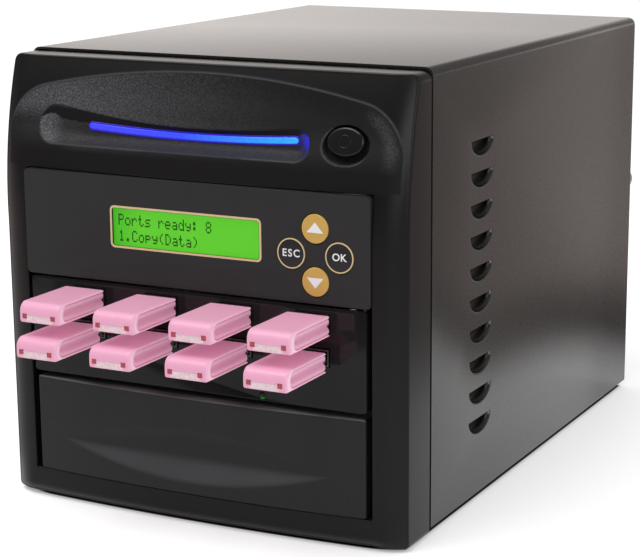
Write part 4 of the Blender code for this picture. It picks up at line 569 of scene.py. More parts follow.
# %% A row of louvres by Geometry Nodes
dish = put("dish", build_dish())
n, sizes = new_tree("louvre_row", Count=3, Pitch=0.02)
down = n.maths("MULTIPLY", sizes["Pitch"], -1.0)
step = n.add("ShaderNodeCombineXYZ", {"Z": down}).outputs[0]
line = n.add("GeometryNodeMeshLine", {"Count": sizes["Count"], "Offset": step}).outputs[0]
source = n.add("GeometryNodeObjectInfo", {"Object": dish}).outputs["Geometry"]
copies = n.add("GeometryNodeInstanceOnPoints", {"Points": line, "Instance": source}).outputs[0]
louvres = grow(n, copies, coat, Count=LOUVRE_COUNT, Pitch=LOUVRE_PITCH)
bpy.data.objects.remove(dish, do_unlink=True)
print("louvre row:", len(louvres.polygons), "faces")

# %% [markdown]
# Each side of the sheet is a filled outline with ten half-moon holes, and the dishes sit in
# the holes. The folds and the top follow one bent line. All of it is one surface without
# thickness, until Solidify gives it the millimetre of the steel.

# %% Sheet of the cover
SHEET = 0.0010
FOLD_RADIUS = 0.0034
FOLD_STEPS = 8
FOLD_Z = CASE_TOP - FOLD_RADIUS
REAR_FLANGE = 0.0100
SHEET_EDGE = 0.00022


def add_side(bm, side):
    """One flat side with its half-moon holes and the dishes in them."""
    loops = [[(0, 0), (CASE_END, 0), (CASE_END, FOLD_Z), (0, FOLD_Z)]]
    for number in range(LOUVRE_COUNT):
        loops.append([(LOUVRE_Y + y, LOUVRE_TOP - number * LOUVRE_PITCH + z) for y, z in HOLE])
    fill(bm, *([bm.verts.new((side * HALF_CASE, y, z)) for y, z in points] for points in loops))
    held = len(bm.verts)
    bm.from_mesh(louvres)
    bm.verts.ensure_lookup_table()
    # Each dish point keeps its depth share, which places the painted shade in the coat.
    layer = bm.verts.layers.float["hollow"]
    for vert in bm.verts[held:]:
        vert[layer] = -vert.co.x / LOUVRE_DEPTH
        vert.co = (side * (HALF_CASE + vert.co.x), LOUVRE_Y + vert.co.y, LOUVRE_TOP + vert.co.z)


def build_cover():
    """Sides, folds, top and rear flange as one surface."""
    bm = bmesh.new()
    bm.verts.layers.float.new("hollow")
    for side in (-1, 1):
        add_side(bm, side)
    fold = arc((HALF_CASE - FOLD_RADIUS, FOLD_Z), FOLD_RADIUS, 0, 90, FOLD_STEPS)
    fold += mirrored(fold)
    loft(bm, [[(x, y, z) for x, z in fold] for y in (0, CASE_END)], closed=False)
    inner_half = HALF_CASE - REAR_FLANGE
    corner = arc((inner_half - SHEET, CASE_TOP - REAR_FLANGE - SHEET), SHEET, 0, 90, FOLD_STEPS)
    outer = [(HALF_CASE, 0)] + fold + [(-HALF_CASE, 0)]
    inner = [(inner_half, 0)] + corner + mirrored(corner) + [(-inner_half, 0)]
    loft(bm, [[(x, CASE_END, z) for x, z in points] for points in (outer, inner)], closed=False)
    bmesh.ops.remove_doubles(bm, verts=bm.verts, dist=FACE_WELD)
    mesh = finished(bm)
    # An open surface has no inside, so the way that its top faces decides.
    if max(mesh.polygons, key=lambda face: face.center.z).normal.z < 0:
        mesh.flip_normals()
    return mesh


cover = baked(build_cover(), ("SOLIDIFY", {"thickness": SHEET, "offset": -1.0}),
              ("BEVEL", {"width": SHEET_EDGE, "segments": 2, "limit_method": "ANGLE",
                         "angle_limit": math.radians(60)}))
settle(cover, "cover_shell", coat, "outer_cover", crisp=40.0)

# %% [markdown]
# ## The moulded front
# The front is one moulding whose face bulges, rolls back at its edges and leans back above
# the bays. Above the bays it has an arch-shaped recess, a scooped trough for the light bar
# and a flared oval well for the power button. All of these are heights over one plane, so
# the face is a fine grid whose points are pushed back. Points next to an edge of a feature
# are first moved onto that edge, which keeps the edge clean.

# %% Form of the face
FACE_REACH = 0.0258
CROWN = 0.0030
CROWN_HALF = 0.0750
EDGE_ROLL = 0.0058
ROLL_POWER = 2.2
LEAN_START = 0.1080
LEAN = 0.0123
FRONT_FOOT = -0.0016
FOOT_ROLL = 0.0030
FOOT_ROLL_HEIGHT = 0.0040
HALF_FRONT, _, FRONT_TOP = local_box("front_bezel")[1]
OPENING_HALF = 0.0753
OPENING_FOOT = 0.0088
OPENING_TOP = 0.1313


def face_y(x, z):
    """Y of the moulded face, for numbers or arrays."""
    lean = np.clip((z - LEAN_START) / (FRONT_TOP - LEAN_START), 0, 1)
    side = np.abs(x)
    crown = CROWN * (1 - np.minimum(side / CROWN_HALF, 1) ** 2) * (1 - lean)
    outside = np.clip((side - CROWN_HALF) / (HALF_FRONT - CROWN_HALF), 0, 1)
    roll = EDGE_ROLL * outside ** ROLL_POWER * (1 - 0.5 * lean)
    below = np.maximum(FRONT_FOOT + FOOT_ROLL_HEIGHT - z, 0) / FOOT_ROLL_HEIGHT
    foot = FOOT_ROLL * below ** 2 * (1 - outside)
    return -(FACE_REACH + crown - roll - foot - LEAN * lean ** 2)


# %% Outlines of the arch, the trough, the well and the button's hole
ARCH_TOP = 0.1699
ARCH_BOW = 0.3200
ARCH_HALF = 0.0690
ARCH_SHOULDER = 0.0194
ARCH_LEGS = (0.0160, 0.0007)
ARCH_DEPTH = 0.0021
ARCH_SLOPE = 0.0100
ARCH_FADE = (0.1380, 0.0150)
TROUGH_ENDS = ((-0.0633, 0.0075), (0.0422, 0.0057))
TROUGH_FOOT = 0.1405
TROUGH_WAIST = 0.1497
TROUGH_SAG = (0.3330, 0.3600)
TROUGH_BACK = -0.0184
TROUGH_WALLS = (0.0014, 0.0044, 0.0070)
WELL_MIDDLE = (0.0621, 0.1473)
WELL_HALF = (0.0097, 0.0072)
WELL_DEPTH = 0.0034
WELL_FLOOR = 0.86
CAP_MIDDLE = (0.0616, 0.1490)
BUTTON_HALF = (0.00745, 0.00535)
HOLE_HALF = (0.00780, 0.00570)
HOLE_DEPTH = 0.0085
BUTTON_TILT = math.atan(2 * LEAN * (WELL_MIDDLE[1] - LEAN_START) / (FRONT_TOP - LEAN_START) ** 2)
LEANING = math.cos(BUTTON_TILT)


def arch_points():
    """A flat bow over two rounded shoulders and straight legs, from right to left."""
    bow = [(x, ARCH_TOP - x * x / (2 * ARCH_BOW)) for x in np.linspace(ARCH_HALF, -ARCH_HALF, 121)]
    turn = 90 - math.degrees(math.atan(ARCH_HALF / ARCH_BOW))
    x = ARCH_HALF - ARCH_SHOULDER * math.cos(math.radians(turn))
    z = bow[0][1] - ARCH_SHOULDER * math.sin(math.radians(turn))
    half = [(x + ARCH_SHOULDER, z - leg) for leg in np.linspace(*ARCH_LEGS, 22)]
    half += arc((x, z), ARCH_SHOULDER, 0, turn, 24)
    return np.array(half + bow[1:-1] + mirrored(half))


def trough_points():
    """Closed outline of the trough: round ends, sagging top, flat foot. The top comes first."""
    (left, left_r), (right, right_r) = TROUGH_ENDS
    points = arc((left, TROUGH_FOOT + left_r), left_r, 170, 90, 10)
    for x in np.linspace(left, right, 81)[1:-1]:
        points.append((x, TROUGH_WAIST + x ** 2 / (2 * TROUGH_SAG[0 if x < 0 else 1])))
    points += arc((right, TROUGH_FOOT + right_r), right_r, 90, -90, 24)
    points += [(x, TROUGH_FOOT) for x in np.linspace(right, left, 81)[1:-1]]
    return np.array(points + arc((left, TROUGH_FOOT + left_r), left_r, 270, 170, 16)[:-1])


# %% Distances, insides and soft steps
def nearest(points, line, closed=True):
    """Distance from each point to a line of points, and the closest place on it."""
    start, end = (line, np.roll(line, -1, axis=0)) if closed else (line[:-1], line[1:])
    best = np.full(len(points), 1.0)
    spot = points.copy()
    for a, b in zip(start, end):
        along = b - a
        t = np.clip(((points - a) @ along) / (along @ along), 0, 1)
        here = a + t[:, None] * along
        gap = np.hypot(*(points - here).T)
        closer = gap < best
        best[closer] = gap[closer]
        spot[closer] = here[closer]
    return best, spot


def inside(points, outline):
    """Which points lie in a closed outline."""
    x, z = points.T
    found = np.zeros(len(points), bool)
    for (x1, z1), (x2, z2) in zip(outline, np.roll(outline, -1, axis=0)):
        if z1 != z2:
            crossed = (z1 > z) != (z2 > z)
            found ^= crossed & (x < (x2 - x1) * (z - z1) / (z2 - z1) + x1)
    return found


def ease(t):
    """Smooth step from 0 to 1."""
    t = np.clip(t, 0, 1)
    return t * t * (3 - 2 * t)


def bell(t):
    """Soft bump that is 1 at 0."""
    return np.exp(-t ** 2)


# %% The four outlines as points
arch = arch_points()
trough = trough_points()
TOP_POINTS = 97
trough_top = trough[:TOP_POINTS]
trough_low = np.vstack((trough[TOP_POINTS - 1:], trough[:1]))
well_line = np.array(ellipse(WELL_MIDDLE, (WELL_HALF[0], WELL_HALF[1] * LEANING), 96))
hole_line = np.array(ellipse(CAP_MIDDLE, (HOLE_HALF[0], HOLE_HALF[1] * LEANING), 96))

# %% Grid of the face, pushed back where the features are
STEP = 0.00045
EDGE = 0.0008
CORNER = 0.0034
FOOT_CORNER = 0.0004
FOOT_BAND = 0.0040
RIM_BAND = 0.0025
HAIR = 1e-6


def spaced(*stretches):
    """Grid lines in stretches from, to and with a number of lines."""
    lines = [np.linspace(*stretch) for stretch in stretches]
    return np.unique(np.round(np.concatenate(lines), 7))


def squeeze(x, z):
    """Pull the rows near the top and foot in, so that the corners are round."""
    half = HALF_FRONT - EDGE
    top_r = CORNER - EDGE
    up = np.clip(z - (FRONT_TOP - EDGE - top_r), 0, top_r)
    down = np.clip(FRONT_FOOT + EDGE + FOOT_CORNER - z, 0, FOOT_CORNER)
    loss = top_r - np.sqrt(top_r ** 2 - up ** 2) + FOOT_CORNER - np.sqrt(FOOT_CORNER ** 2 - down ** 2)
    return x * (half - loss) / half


def coarse(x, z):
    """Strength of the coarse texture in the arch, most at the upper left. Its run over the recess is
    painted light.
    """
    fall = np.clip((x + 0.0600) / 0.1130, 0, 1)
    low_left = ease((-0.0500 - x) / 0.0120) * ease((0.1560 - z) / 0.0080)
    return (0.06 + 0.94 * (1 - fall) ** 1.8) * (1 - 0.85 * low_left)


# %% Points of the face, moved onto edges and pushed back
def snapped(points):
    """Move the points next to an edge of a feature onto that edge."""
    spots = points.copy()
    free = np.ones(len(points), bool)
    for line, closed in ((hole_line, True), (trough, True), (well_line, True), (arch, False)):
        gap, near = nearest(spots, line, closed)
        snap = free & (gap < STEP * 0.5)
        spots[snap] = near[snap]
        free &= ~snap
    return spots


def pushed(points):
    """Places and depths of the points, and their shares for the finish, painted light among them."""
    spots = snapped(points)
    x, z = spots.T
    face = face_y(x, z)

    # The arch sinks in from its outline and fades out downward.
    gap = nearest(spots, arch, False)[0]
    in_arch = inside(spots, arch) & (gap > STEP * 0.05)
    fade = np.clip((z - ARCH_FADE[0]) / ARCH_FADE[1], 0, 1)
    sink = in_arch * ARCH_DEPTH * ease(fade) * (1 - (1 - np.minimum(gap / ARCH_SLOPE, 1)) ** 2)
    # Painted light: the texture is strongest at the upper left and in a band along the right edge, and the
    # rim share is a painted highlight along the arch's edge.
    right_highlight = 0.50 * bell((gap - 0.0040) / 0.0030) * ease((x - 0.0650) / 0.0110)
    grit_and_light = in_arch * ease(gap / 0.0008) * np.clip(fade * 2, 0, 1) * np.maximum(coarse(x, z), right_highlight)
    rim = 0.40 * bell(gap / 0.00035) * np.clip(fade * 2 - 1, 0, 1)

    # The trough has a steep upper wall and a bowl that rises to its foot.
    in_line = inside(spots, trough)
    in_trough = in_line & (nearest(spots, trough)[0] > STEP * 0.05)
    upper = nearest(spots, trough_top, False)[0]
    lower = nearest(spots, trough_low, False)[0]
    steep, foot, end = TROUGH_WALLS
    width = foot + (end - foot) * ease((-0.0480 - x) / 0.0120)
    bowl = 1 - (1 - np.minimum(lower / width, 1)) ** 1.8
    y = face + sink
    y += in_trough * (TROUGH_BACK - y) * np.minimum(ease(upper / steep), bowl)
    # Painted light and shade in the trough: no texture under the overhanging upper wall, where shade falls,
    # the most at the left end, where light falls, and a painted highlight along the foot.
    lit_end = 0.34 + 0.86 * ease((-0.0590 - x) / 0.0080)
    grit_and_light = np.where(in_trough, np.where(upper < lower * 0.6, 0.0, lit_end), grit_and_light)
    foot_highlight = 0.25 * bell(lower / 0.00030) * (z < TROUGH_FOOT + 0.004)
    rim = np.maximum(np.where(in_line, 0.0, rim), foot_highlight)

    # The well flares in to the hole that the button stands in.
    across = (x - WELL_MIDDLE[0]) / WELL_HALF[0]
    along = (z - WELL_MIDDLE[1]) / LEANING / WELL_HALF[1]
    reach = np.hypot(across, along)
    wall = np.clip((1 - reach) / (1 - WELL_FLOOR), 0, 1)
    well = inside(spots, well_line) & (reach < 0.998)
    y = np.where(well, face + np.maximum(sink, WELL_DEPTH * (0.25 * ease(wall) + 0.75 * wall)), y)
    hole = np.hypot((x - CAP_MIDDLE[0]) / HOLE_HALF[0], (z - CAP_MIDDLE[1]) / LEANING / HOLE_HALF[1]) < 0.99
    y = np.where(hole, face + HOLE_DEPTH, y)
    # A painted highlight runs along the well's lower-left rim.
    well_rim_highlight = 0.30 * ease(0.7 - across - along) * bell((reach - 1.01) / 0.035)
    grit_and_light[well | hole] = 0.0
    rim = np.maximum(np.where(well | hole, 0.0, rim), well_rim_highlight)
    matt = np.where(well, 2.0, in_arch | in_trough)
    # Painted glow: the bar's light on the trough's right end is emission of the plastic itself.
    glow = bell((x - 0.0465) / 0.0026) * bell((z - 0.1478) / 0.0030) * in_trough
    return spots, y, np.column_stack((grit_and_light, rim, matt, glow))


# %% The moulding as a mesh
def build_front():
    """The whole moulding as one closed mesh."""
    half = HALF_FRONT - EDGE
    columns = spaced((-half, -OPENING_HALF, 23), (-OPENING_HALF, OPENING_HALF, 335),
                     (OPENING_HALF, half, 23))
    low, high = OPENING_FOOT + RIM_BAND, OPENING_TOP - RIM_BAND
    rows = spaced((FRONT_FOOT + EDGE, FOOT_BAND, 11), (FOOT_BAND, OPENING_FOOT, 5), (OPENING_FOOT, low, 6),
                  (low, high, 48), (high, OPENING_TOP, 6), (OPENING_TOP, FRONT_TOP - EDGE, 92))
    grid_x, grid_z = np.meshgrid(columns, rows)
    flat = np.column_stack((squeeze(grid_x, grid_z).ravel(), grid_z.ravel()))
    y = face_y(*flat.T)
    shares = np.zeros((len(flat), 4))
    upper = flat[:, 1] > OPENING_TOP + STEP
    flat[upper], y[upper], shares[upper] = pushed(flat[upper])
    bm = bmesh.new()
    layers = [bm.verts.layers.float.new(label) for label in ("grit_and_light", "rim", "matt", "glow")]
    open_x = np.abs(columns) < OPENING_HALF - HAIR
    open_z = (rows > OPENING_FOOT + HAIR) & (rows < OPENING_TOP - HAIR)
    verts = {}
    for i, (r, c) in enumerate(np.ndindex(len(rows), len(columns))):
        if not (open_z[r] and open_x[c]):
            verts[r, c] = bm.verts.new((flat[i, 0], y[i], flat[i, 1]))
            for layer, share in zip(layers, shares[i]):
                verts[r, c][layer] = share
    for r, c in np.ndindex(len(rows) - 1, len(columns) - 1):
        corners = [verts.get(key) for key in ((r, c), (r, c + 1), (r + 1, c + 1), (r + 1, c))]
        hollow = (abs(columns[c] + columns[c + 1]) / 2 < OPENING_HALF
                  and OPENING_FOOT < (rows[r] + rows[r + 1]) / 2 < OPENING_TOP)
        if None not in corners and not hollow:
            bm.faces.new(corners)
    close_front(bm)
    return finished(bm)


# %% [markdown]
# The grid is an open surface with two rims, the outline and the opening for the bays. Both
# are rolled back ring by ring, as a moulded edge is, and run back as walls. A bevel modifier
# would round the edges of the trough and the well too, so the rims are rolled by the helpers below.

# %% Rims of a grid, rolled back and closed behind
def rim_loops(bm):
    """The open rims of the grid, each as an ordered list of corners, the shortest first."""
    loops = []
    left = {edge for edge in bm.edges if edge.is_boundary}
    while left:
        start, here = left.pop().verts
        loop = [start]
        while here is not start:
            loop.append(here)
            edge = next(edge for edge in here.link_edges if edge in left)
            left.remove(edge)
            here = edge.other_vert(here)
        loops.append(loop)
    return sorted(loops, key=len)


def extend(bm, loop, offset=0.0, depth=0.0, to_y=None):
    """Make the next ring of a rim, moved sideways and back, and join it with faces."""
    flat = np.array([(v.co.x, v.co.z) for v in loop])
    along = np.roll(flat, -1, axis=0) - np.roll(flat, 1, axis=0)
    along /= np.linalg.norm(along, axis=1)[:, None]
    area = np.sum(flat[:, 0] * np.roll(flat[:, 1], -1) - np.roll(flat[:, 0], -1) * flat[:, 1])
    outward = np.column_stack((along[:, 1], -along[:, 0])) * np.sign(area)
    ring = []
    for vert, way in zip(loop, outward):
        y = vert.co.y + depth if to_y is None else to_y
        ring.append(bm.verts.new((vert.co.x + way[0] * offset, y, vert.co.z + way[1] * offset)))
    for i in range(len(loop)):
        bm.faces.new((loop[i - 1], loop[i], ring[i], ring[i - 1]))
    return ring


def roll_rim(bm, loop, reach, sign, turns):
    """Roll a rim back over a round edge."""
    before = 0.0
    for turn in turns:
        side = reach * math.sin(math.radians(turn))
        back = reach * (math.cos(math.radians(turn - turns[0])) - math.cos(math.radians(turn)))
        loop = extend(bm, loop, sign * (side - before), back)
        before = side
    return loop


FRONT_LIP = -0.0020
FRONT_WALL = 0.0016
FRONT_REAR = 0.0050


def close_front(bm):
    """Round the rims, run the walls back and close the moulding behind."""
    opening, outline = rim_loops(bm)
    turns = (22.5, 45, 67.5, 90)
    opening = roll_rim(bm, opening, EDGE / 2, -1, turns)
    outline = roll_rim(bm, outline, EDGE, 1, turns)
    outline = extend(bm, outline, to_y=FRONT_LIP)
    outline = extend(bm, outline, -FRONT_WALL)
    fill(bm, *(extend(bm, loop, to_y=FRONT_REAR) for loop in (opening, outline)))


settle(build_front(), "front_shell", moulded, "front_bezel", crisp=50.0)

# %% [markdown]
# ## Light bar and power button
# The bar is a clear strip with round ends, lit from inside and a little proud of the back of
# the trough. Its colour runs from violet at the left to azure at the right. Lamps inside
# clear plastic could light it, but a colour ramp along X that drives the emission gives
# the same even run without noise.

# %% Light bar
LIGHT_ENDS = (-0.0485, 0.0421)
LIGHT_LOW = (-0.0030, 0.1462)
LIGHT_ARC = 0.6670
LIGHT_HALF = 0.0012
LIGHT_RIM = 0.00055
LIGHT_ROUND = 0.0006
LIGHT_SUNK = 0.0003


def bar_outline(half):
    """Band with round ends along the bar's arc."""
    left, right = LIGHT_ENDS[0] + LIGHT_HALF, LIGHT_ENDS[1] - LIGHT_HALF
    middle = []
    for x in np.linspace(left, right, 41):
        middle.append((x, LIGHT_LOW[1] + (x - LIGHT_LOW[0]) ** 2 / (2 * LIGHT_ARC)))
    points = arc(middle[-1], half, -90, 90, 8)
    points += [(x, z + half) for x, z in reversed(middle[1:-1])]
    points += arc(middle[0], half, 90, 270, 8)
    return points + [(x, z - half) for x, z in middle[1:-1]]


lit = finish("lit_bar", (0.02, 0.05, 0.60), 0.25, relief=(700, 0.15, 0.00008), stretch=(0.2, 1, 1))
n = Nodes(lit)
hue = n.add("ShaderNodeValToRGB", {"Fac": n.span(n.axes()[0], *LIGHT_ENDS)})
hue.color_ramp.elements[0].color = (0.050, 0.020, 0.66, 1)
hue.color_ramp.elements[1].color = (0.014, 0.480, 1.20, 1)
hue.color_ramp.elements.new(0.45).color = (0.026, 0.050, 0.86, 1)
n.into(Emission_Color=hue.outputs["Color"],
       Emission_Strength=n.span(n.noise(1300), *NOISE_MIDDLE, 0.66, 0.98))
rim_lit = finish("lit_rim", (0.01, 0.01, 0.20), 0.30, relief=(700, 0.15, 0.00008),
                 Emission_Color=(0.020, 0.004, 0.36, 1))
n = Nodes(rim_lit)
n.into(Emission_Strength=n.span(n.noise(600), 0, 1, 0.6, 1.2))

bar_front, bar_rear = (corner.y for corner in local_box("light_bar"))
bar = flat_shape([bar_outline(LIGHT_HALF)], bar_front, bar_rear, LIGHT_ROUND, 3)
settle(bar, "light_strip", lit, "light_bar")
bar = flat_shape([bar_outline(LIGHT_HALF + LIGHT_RIM)], bar_front + LIGHT_SUNK, bar_rear, LIGHT_SUNK)
settle(bar, "light_rim", rim_lit)

# %% [markdown]
# The button is an oval cap. Its face is slightly crowned, its rim is rounded, and a small
# raised ring stands in the middle. A bevel on a stretched cylinder would round the oval
# unevenly, so the cap is drawn as rings of one profile. Then it is turned like the sloping
# face around it.

# %% Power button
BUTTON_SUNK = 0.0010
BUTTON_DEPTH = 0.0062
BUTTON_RIM = 0.0011
RING_RADIUS = 0.0023
RING_WIRE = 0.00022


def build_button():
    """Oval cap as rings of a turned profile, stretched sideways."""
    profile = [(0.3, 0.0), (0.6, 0.00006), (0.8, 0.00014)]
    for turn in np.radians((0, 18, 36, 54, 72, 90)):
        reach = 1 - BUTTON_RIM / BUTTON_HALF[1] * (1 - math.sin(turn))
        profile.append((reach, 0.00020 + BUTTON_RIM * 0.7 * (1 - math.cos(turn))))
    profile.append((1.0, BUTTON_DEPTH))
    bm = bmesh.new()
    loft(bm, [[(x, z, -depth) for x, z in ellipse((0, 0), [share * half for half in BUTTON_HALF], 64)]
              for share, depth in profile], ends=(0, -1))
    loft(bm, [[(x, z, rise) for x, z in circle((0, 0), reach, 40)]
              for reach, rise in circle((RING_RADIUS, 0), RING_WIRE, 8)], again=True)
    outward = Vector((0, -math.cos(BUTTON_TILT), math.sin(BUTTON_TILT)))
    centre = Vector((CAP_MIDDLE[0], float(face_y(*CAP_MIDDLE)), CAP_MIDDLE[1])) - outward * BUTTON_SUNK
    turned = Matrix.Translation(centre) @ Matrix.Rotation(math.pi / 2 - BUTTON_TILT, 4, "X")
    bmesh.ops.transform(bm, matrix=turned, verts=bm.verts)
    return finished(bm)


settle(build_button(), "button_cap", satin, "power_button", "power_button", 50.0)

# %% [markdown]
# ## Control panel: film, display and keys
# A grey printed film covers the panel. It is cut out over the display and over the keys. A
# gold line is printed round the display. The display itself is a bright green field with
# two lines of dark dots, and a clear pane lies over it. All of these are flat outlines with
# holes, so each one is a 2D curve, extruded with a small round rim.

# %% Film and gold line
PANEL_FRONT = local_box("control_panel")[0].y
FILM = 0.00018
FILM_FRONT = PANEL_FRONT - FILM
FILM_EDGE = 0.0002
PANE_LOW, PANE_HIGH = local_box("lcd_window")
PANE_MIDDLE, PANE_HALF = front_of("lcd_window")
KEY_RADIUS = 0.0057
KEY_GAP = 0.00012
KEYS = {name: front_of(name)[0] for name in ("key_up", "key_down", "key_esc", "key_ok")}


def pane_outline(wider, higher, radius, steps):
    """Rounded outline of the pane, made larger or smaller."""
    return rounded_outline(PANE_MIDDLE, (PANE_HALF[0] + wider, PANE_HALF[1] + higher), radius, steps)


film_middle, film_half = front_of("control_panel")
outlines = [rounded_outline(film_middle, [half - FILM_EDGE for half in film_half], 0.0017, 6)]
outlines += [circle(middle, KEY_RADIUS + KEY_GAP) for middle in KEYS.values()]
outlines += [pane_outline(-0.0006, -0.0009, 0.0011, 6)]
mesh = flat_shape(outlines, FILM_FRONT, PANEL_FRONT + FILM / 2, 0.00006, 1)
settle(mesh, "panel_film", film)
border = [pane_outline(0.0004, 0.00005, 0.0019, 8), pane_outline(-0.0004, -0.00075, 0.0012, 8)]
mesh = flat_shape(border, FILM_FRONT - 0.00006, PANEL_FRONT - FILM / 2)
settle(mesh, "gold_line", pale_gold)

# %% [markdown]
# The display's field is lit from behind and a little darker at its left end, so its
# emission is mixed over X.

# %% Green field behind the pane
FIELD_Y = PANE_HIGH.y + 0.0001
green = finish("display_green", (0.030, 0.200, 0.004), 0.5, Emission_Strength=0.80)
n = Nodes(green)
run = n.span(n.axes()[0], PANE_LOW.x, PANE_LOW.x + 0.012)
n.into(Emission_Color=n.mix(run, (0.060, 0.520, 0.012), (0.125, 0.690, 0.022)))
mesh = flat_shape([pane_outline(-0.0002, -0.0002, 0.001, 4)], FIELD_Y, FIELD_Y + 0.0006)
settle(mesh, "display_field", green)

# %% [markdown]
# The text is a dot matrix of five by seven dots for each character, as on such displays.
# Each glyph is written as its seven rows, from the top, and a 1 is a dark dot. A font could
# not keep the dots apart, so each dot is a small raised square of its own.

# %% Dots of the text
GLYPHS = {
    "P": "11110 10001 10001 11110 10000 10000 10000", "o": "00000 00000 01110 10001 10001 10001 01110",
    "r": "00000 00000 10110 11001 10000 10000 10000", "t": "01000 01000 11100 01000 01000 01001 00110",
    "s": "00000 00000 01111 10000 01110 00001 11110", "e": "00000 00000 01110 10001 11111 10000 01110",
    "a": "00000 00000 01110 00001 01111 10001 01111", "d": "00001 00001 01101 10011 10001 10001 01111",
    "y": "00000 00000 10001 10001 01111 00001 01110", ":": "00000 01100 01100 00000 01100 01100 00000",
    "8": "01110 10001 10001 01110 10001 10001 01110", "1": "00100 01100 00100 00100 00100 00100 01110",
    ".": "00000 00000 00000 00000 00000 01100 01100", "C": "01110 10001 10000 10000 10000 10001 01110",
    "p": "00000 00000 11110 10001 11110 10000 10000", "(": "00010 00100 01000 01000 01000 00100 00010",
    "D": "11100 10010 10001 10001 10001 10010 11100", ")": "01000 00100 00010 00010 00010 00100 01000",
}
LINES = ("Ports ready: 8", "1.Copy(Data)")
TEXT_START = (PANE_LOW.x + 0.0026, PANE_HIGH.z - 0.0032)
CHARACTER = 0.00296
DOT_PITCH = (0.00048, 0.00062)
LINE_DROP = 0.0062
DOT_GAP = 0.00001
DOT_Y = (FIELD_Y - 0.00005, FIELD_Y + 0.0001)


def build_text():
    """One small raised square for each dark dot."""
    bm = bmesh.new()
    for line, text in enumerate(LINES):
        for place, letter in enumerate(text):
            for r, bits in enumerate(GLYPHS.get(letter, "").split()):
                for c in (c for c, bit in enumerate(bits) if bit == "1"):
                    x = TEXT_START[0] + place * CHARACTER + c * DOT_PITCH[0]
                    z = TEXT_START[1] - line * LINE_DROP - r * DOT_PITCH[1]
                    add_box(bm, (x, DOT_Y[0], z - DOT_PITCH[1] + DOT_GAP),
                            (x + DOT_PITCH[0] - DOT_GAP, DOT_Y[1], z))
    return finished(bm)


ink = finish("display_ink", (0.018, 0.130, 0.008), 0.5,
             tones=(900, (0.015, 0.110, 0.006), (0.022, 0.160, 0.010)), Specular_IOR_Level=0.2)
settle(build_text(), "display_text", ink)

pane_look = finish("display_pane", (0.02, 0.03, 0.02), 0.10, relief=(60, 0.01, 0.0002),
                   Specular_IOR_Level=0.3, Alpha=0.08)
mesh = flat_shape([pane_outline(-0.0009, -0.0009, 0.001, 4)], PANEL_FRONT - FILM / 2, PANE_HIGH.y - 0.0001,
                  0.00008, 1)
settle(mesh, "clear_pane", pane_look, "lcd_window")

# %% [markdown]
# The four keys are round discs. Up and down are gold with a white triangle. The other two
# are dark with a gold ring and a white legend. A legend is a text object that becomes a
# mesh, because only meshes are exported. It stands a little proud of its key, since two
# faces at the same place would flicker.

# %% Keys
KEY_FACE, KEY_REAR = (corner.y for corner in local_box("key_up"))
DISC_REAR = KEY_REAR - 0.0030
INK = 0.00006
LEGEND_HEIGHT = 0.0039
KEY_EDGE = 0.00025
RING_WIDTH = 0.00046
RING_ROOT = 0.0003
ARROW_KEY_RADIUS = KEY_RADIUS - 0.00025
ARROW_HALF = 0.0034
ARROW_FOOT = 0.0015
ARROW_TIP = 0.0024
ARROWS = {"key_up": 1, "key_down": -1}
WORDS = {"key_esc": ("ESC", 1.22), "key_ok": ("OK", 1.05)}


def triangle(middle, up):
    """Outline of an arrow, 1 for up and -1 for down."""
    x, z = middle
    foot = z - ARROW_FOOT * up
    return [(x - ARROW_HALF, foot), (x + ARROW_HALF, foot), (x, z + ARROW_TIP * up)][::up]


def legend(text, spacing, middle):
    """A word as a flat mesh on a key's face."""
    curve = bpy.data.curves.new("legend", "FONT")
    curve.body = text
    curve.align_x = "CENTER"
    curve.align_y = "CENTER"
    curve.size = LEGEND_HEIGHT
    curve.space_character = spacing
    curve.extrude = INK
    curve.offset = INK
    curve.resolution_u = 4
    return stood_up(curve, (middle[0], KEY_FACE, middle[1]))


for name, middle in KEYS.items():
    look, slot = (gold, "key_gold") if name in ARROWS else (dark_key, "key_dark")
    rim = circle(middle, ARROW_KEY_RADIUS if name in ARROWS else KEY_RADIUS)
    disc = flat_shape([rim], KEY_FACE, DISC_REAR, KEY_EDGE, 3)
    settle(disc, name + "_disc", look, name, name)
    if name in ARROWS:
        mark = flat_shape([triangle(middle, ARROWS[name])], KEY_FACE - INK, KEY_FACE + INK)
    else:
        inner = circle(middle, KEY_RADIUS - RING_WIDTH)
        ring = flat_shape([rim, inner], KEY_FACE - INK, KEY_FACE + RING_ROOT)
        settle(ring, name + "_ring", pale_gold, body=name)
        mark = legend(*WORDS[name], middle)
    settle(mark, name + "_mark", white_print, body=name)

# %% [markdown]
# ## Status light
# A small green light sits at the lower edge of the port plate. Only the lower part of its
# lens glows, so the emission is mapped over the lens's height.

# %% Status light
LENS_RADIUS = 0.00128
led_low, led_high = local_box("status_led")
glow = finish("status_green", (0.008, 0.014, 0.008), 0.14, relief=(900, 0.1, 0.0001),
              Emission_Color=(0.05, 0.60, 0.03, 1), Specular_IOR_Level=0.30)
n = Nodes(glow)
led_foot = ORIGIN.z + led_low.z
n.into(Emission_Strength=n.span(n.axes()[2], led_foot + 0.0008, led_foot + 0.0002, 0.0, 0.30))
lens = flat_shape([circle(front_of("status_led")[0], LENS_RADIUS, 28)],
                  local_box("usb_panel")[0].y - 0.00002, led_high.y, 0.00004, 1)
settle(lens, "status_lens", glow, "status_led")

# %% [markdown]
# ## Flash drives
# A drive has one smooth shell that wraps over its top, nose and underside. The sides are set
# back from the shell's rim, with two ridges and a groove that meet behind the nose. The form
# is a row of rings across the width. Each ring is the side view, drawn in by a distance that
# is larger at the nose. A box with a subdivision modifier would be round too, but rings put
# each ridge exactly where it belongs.

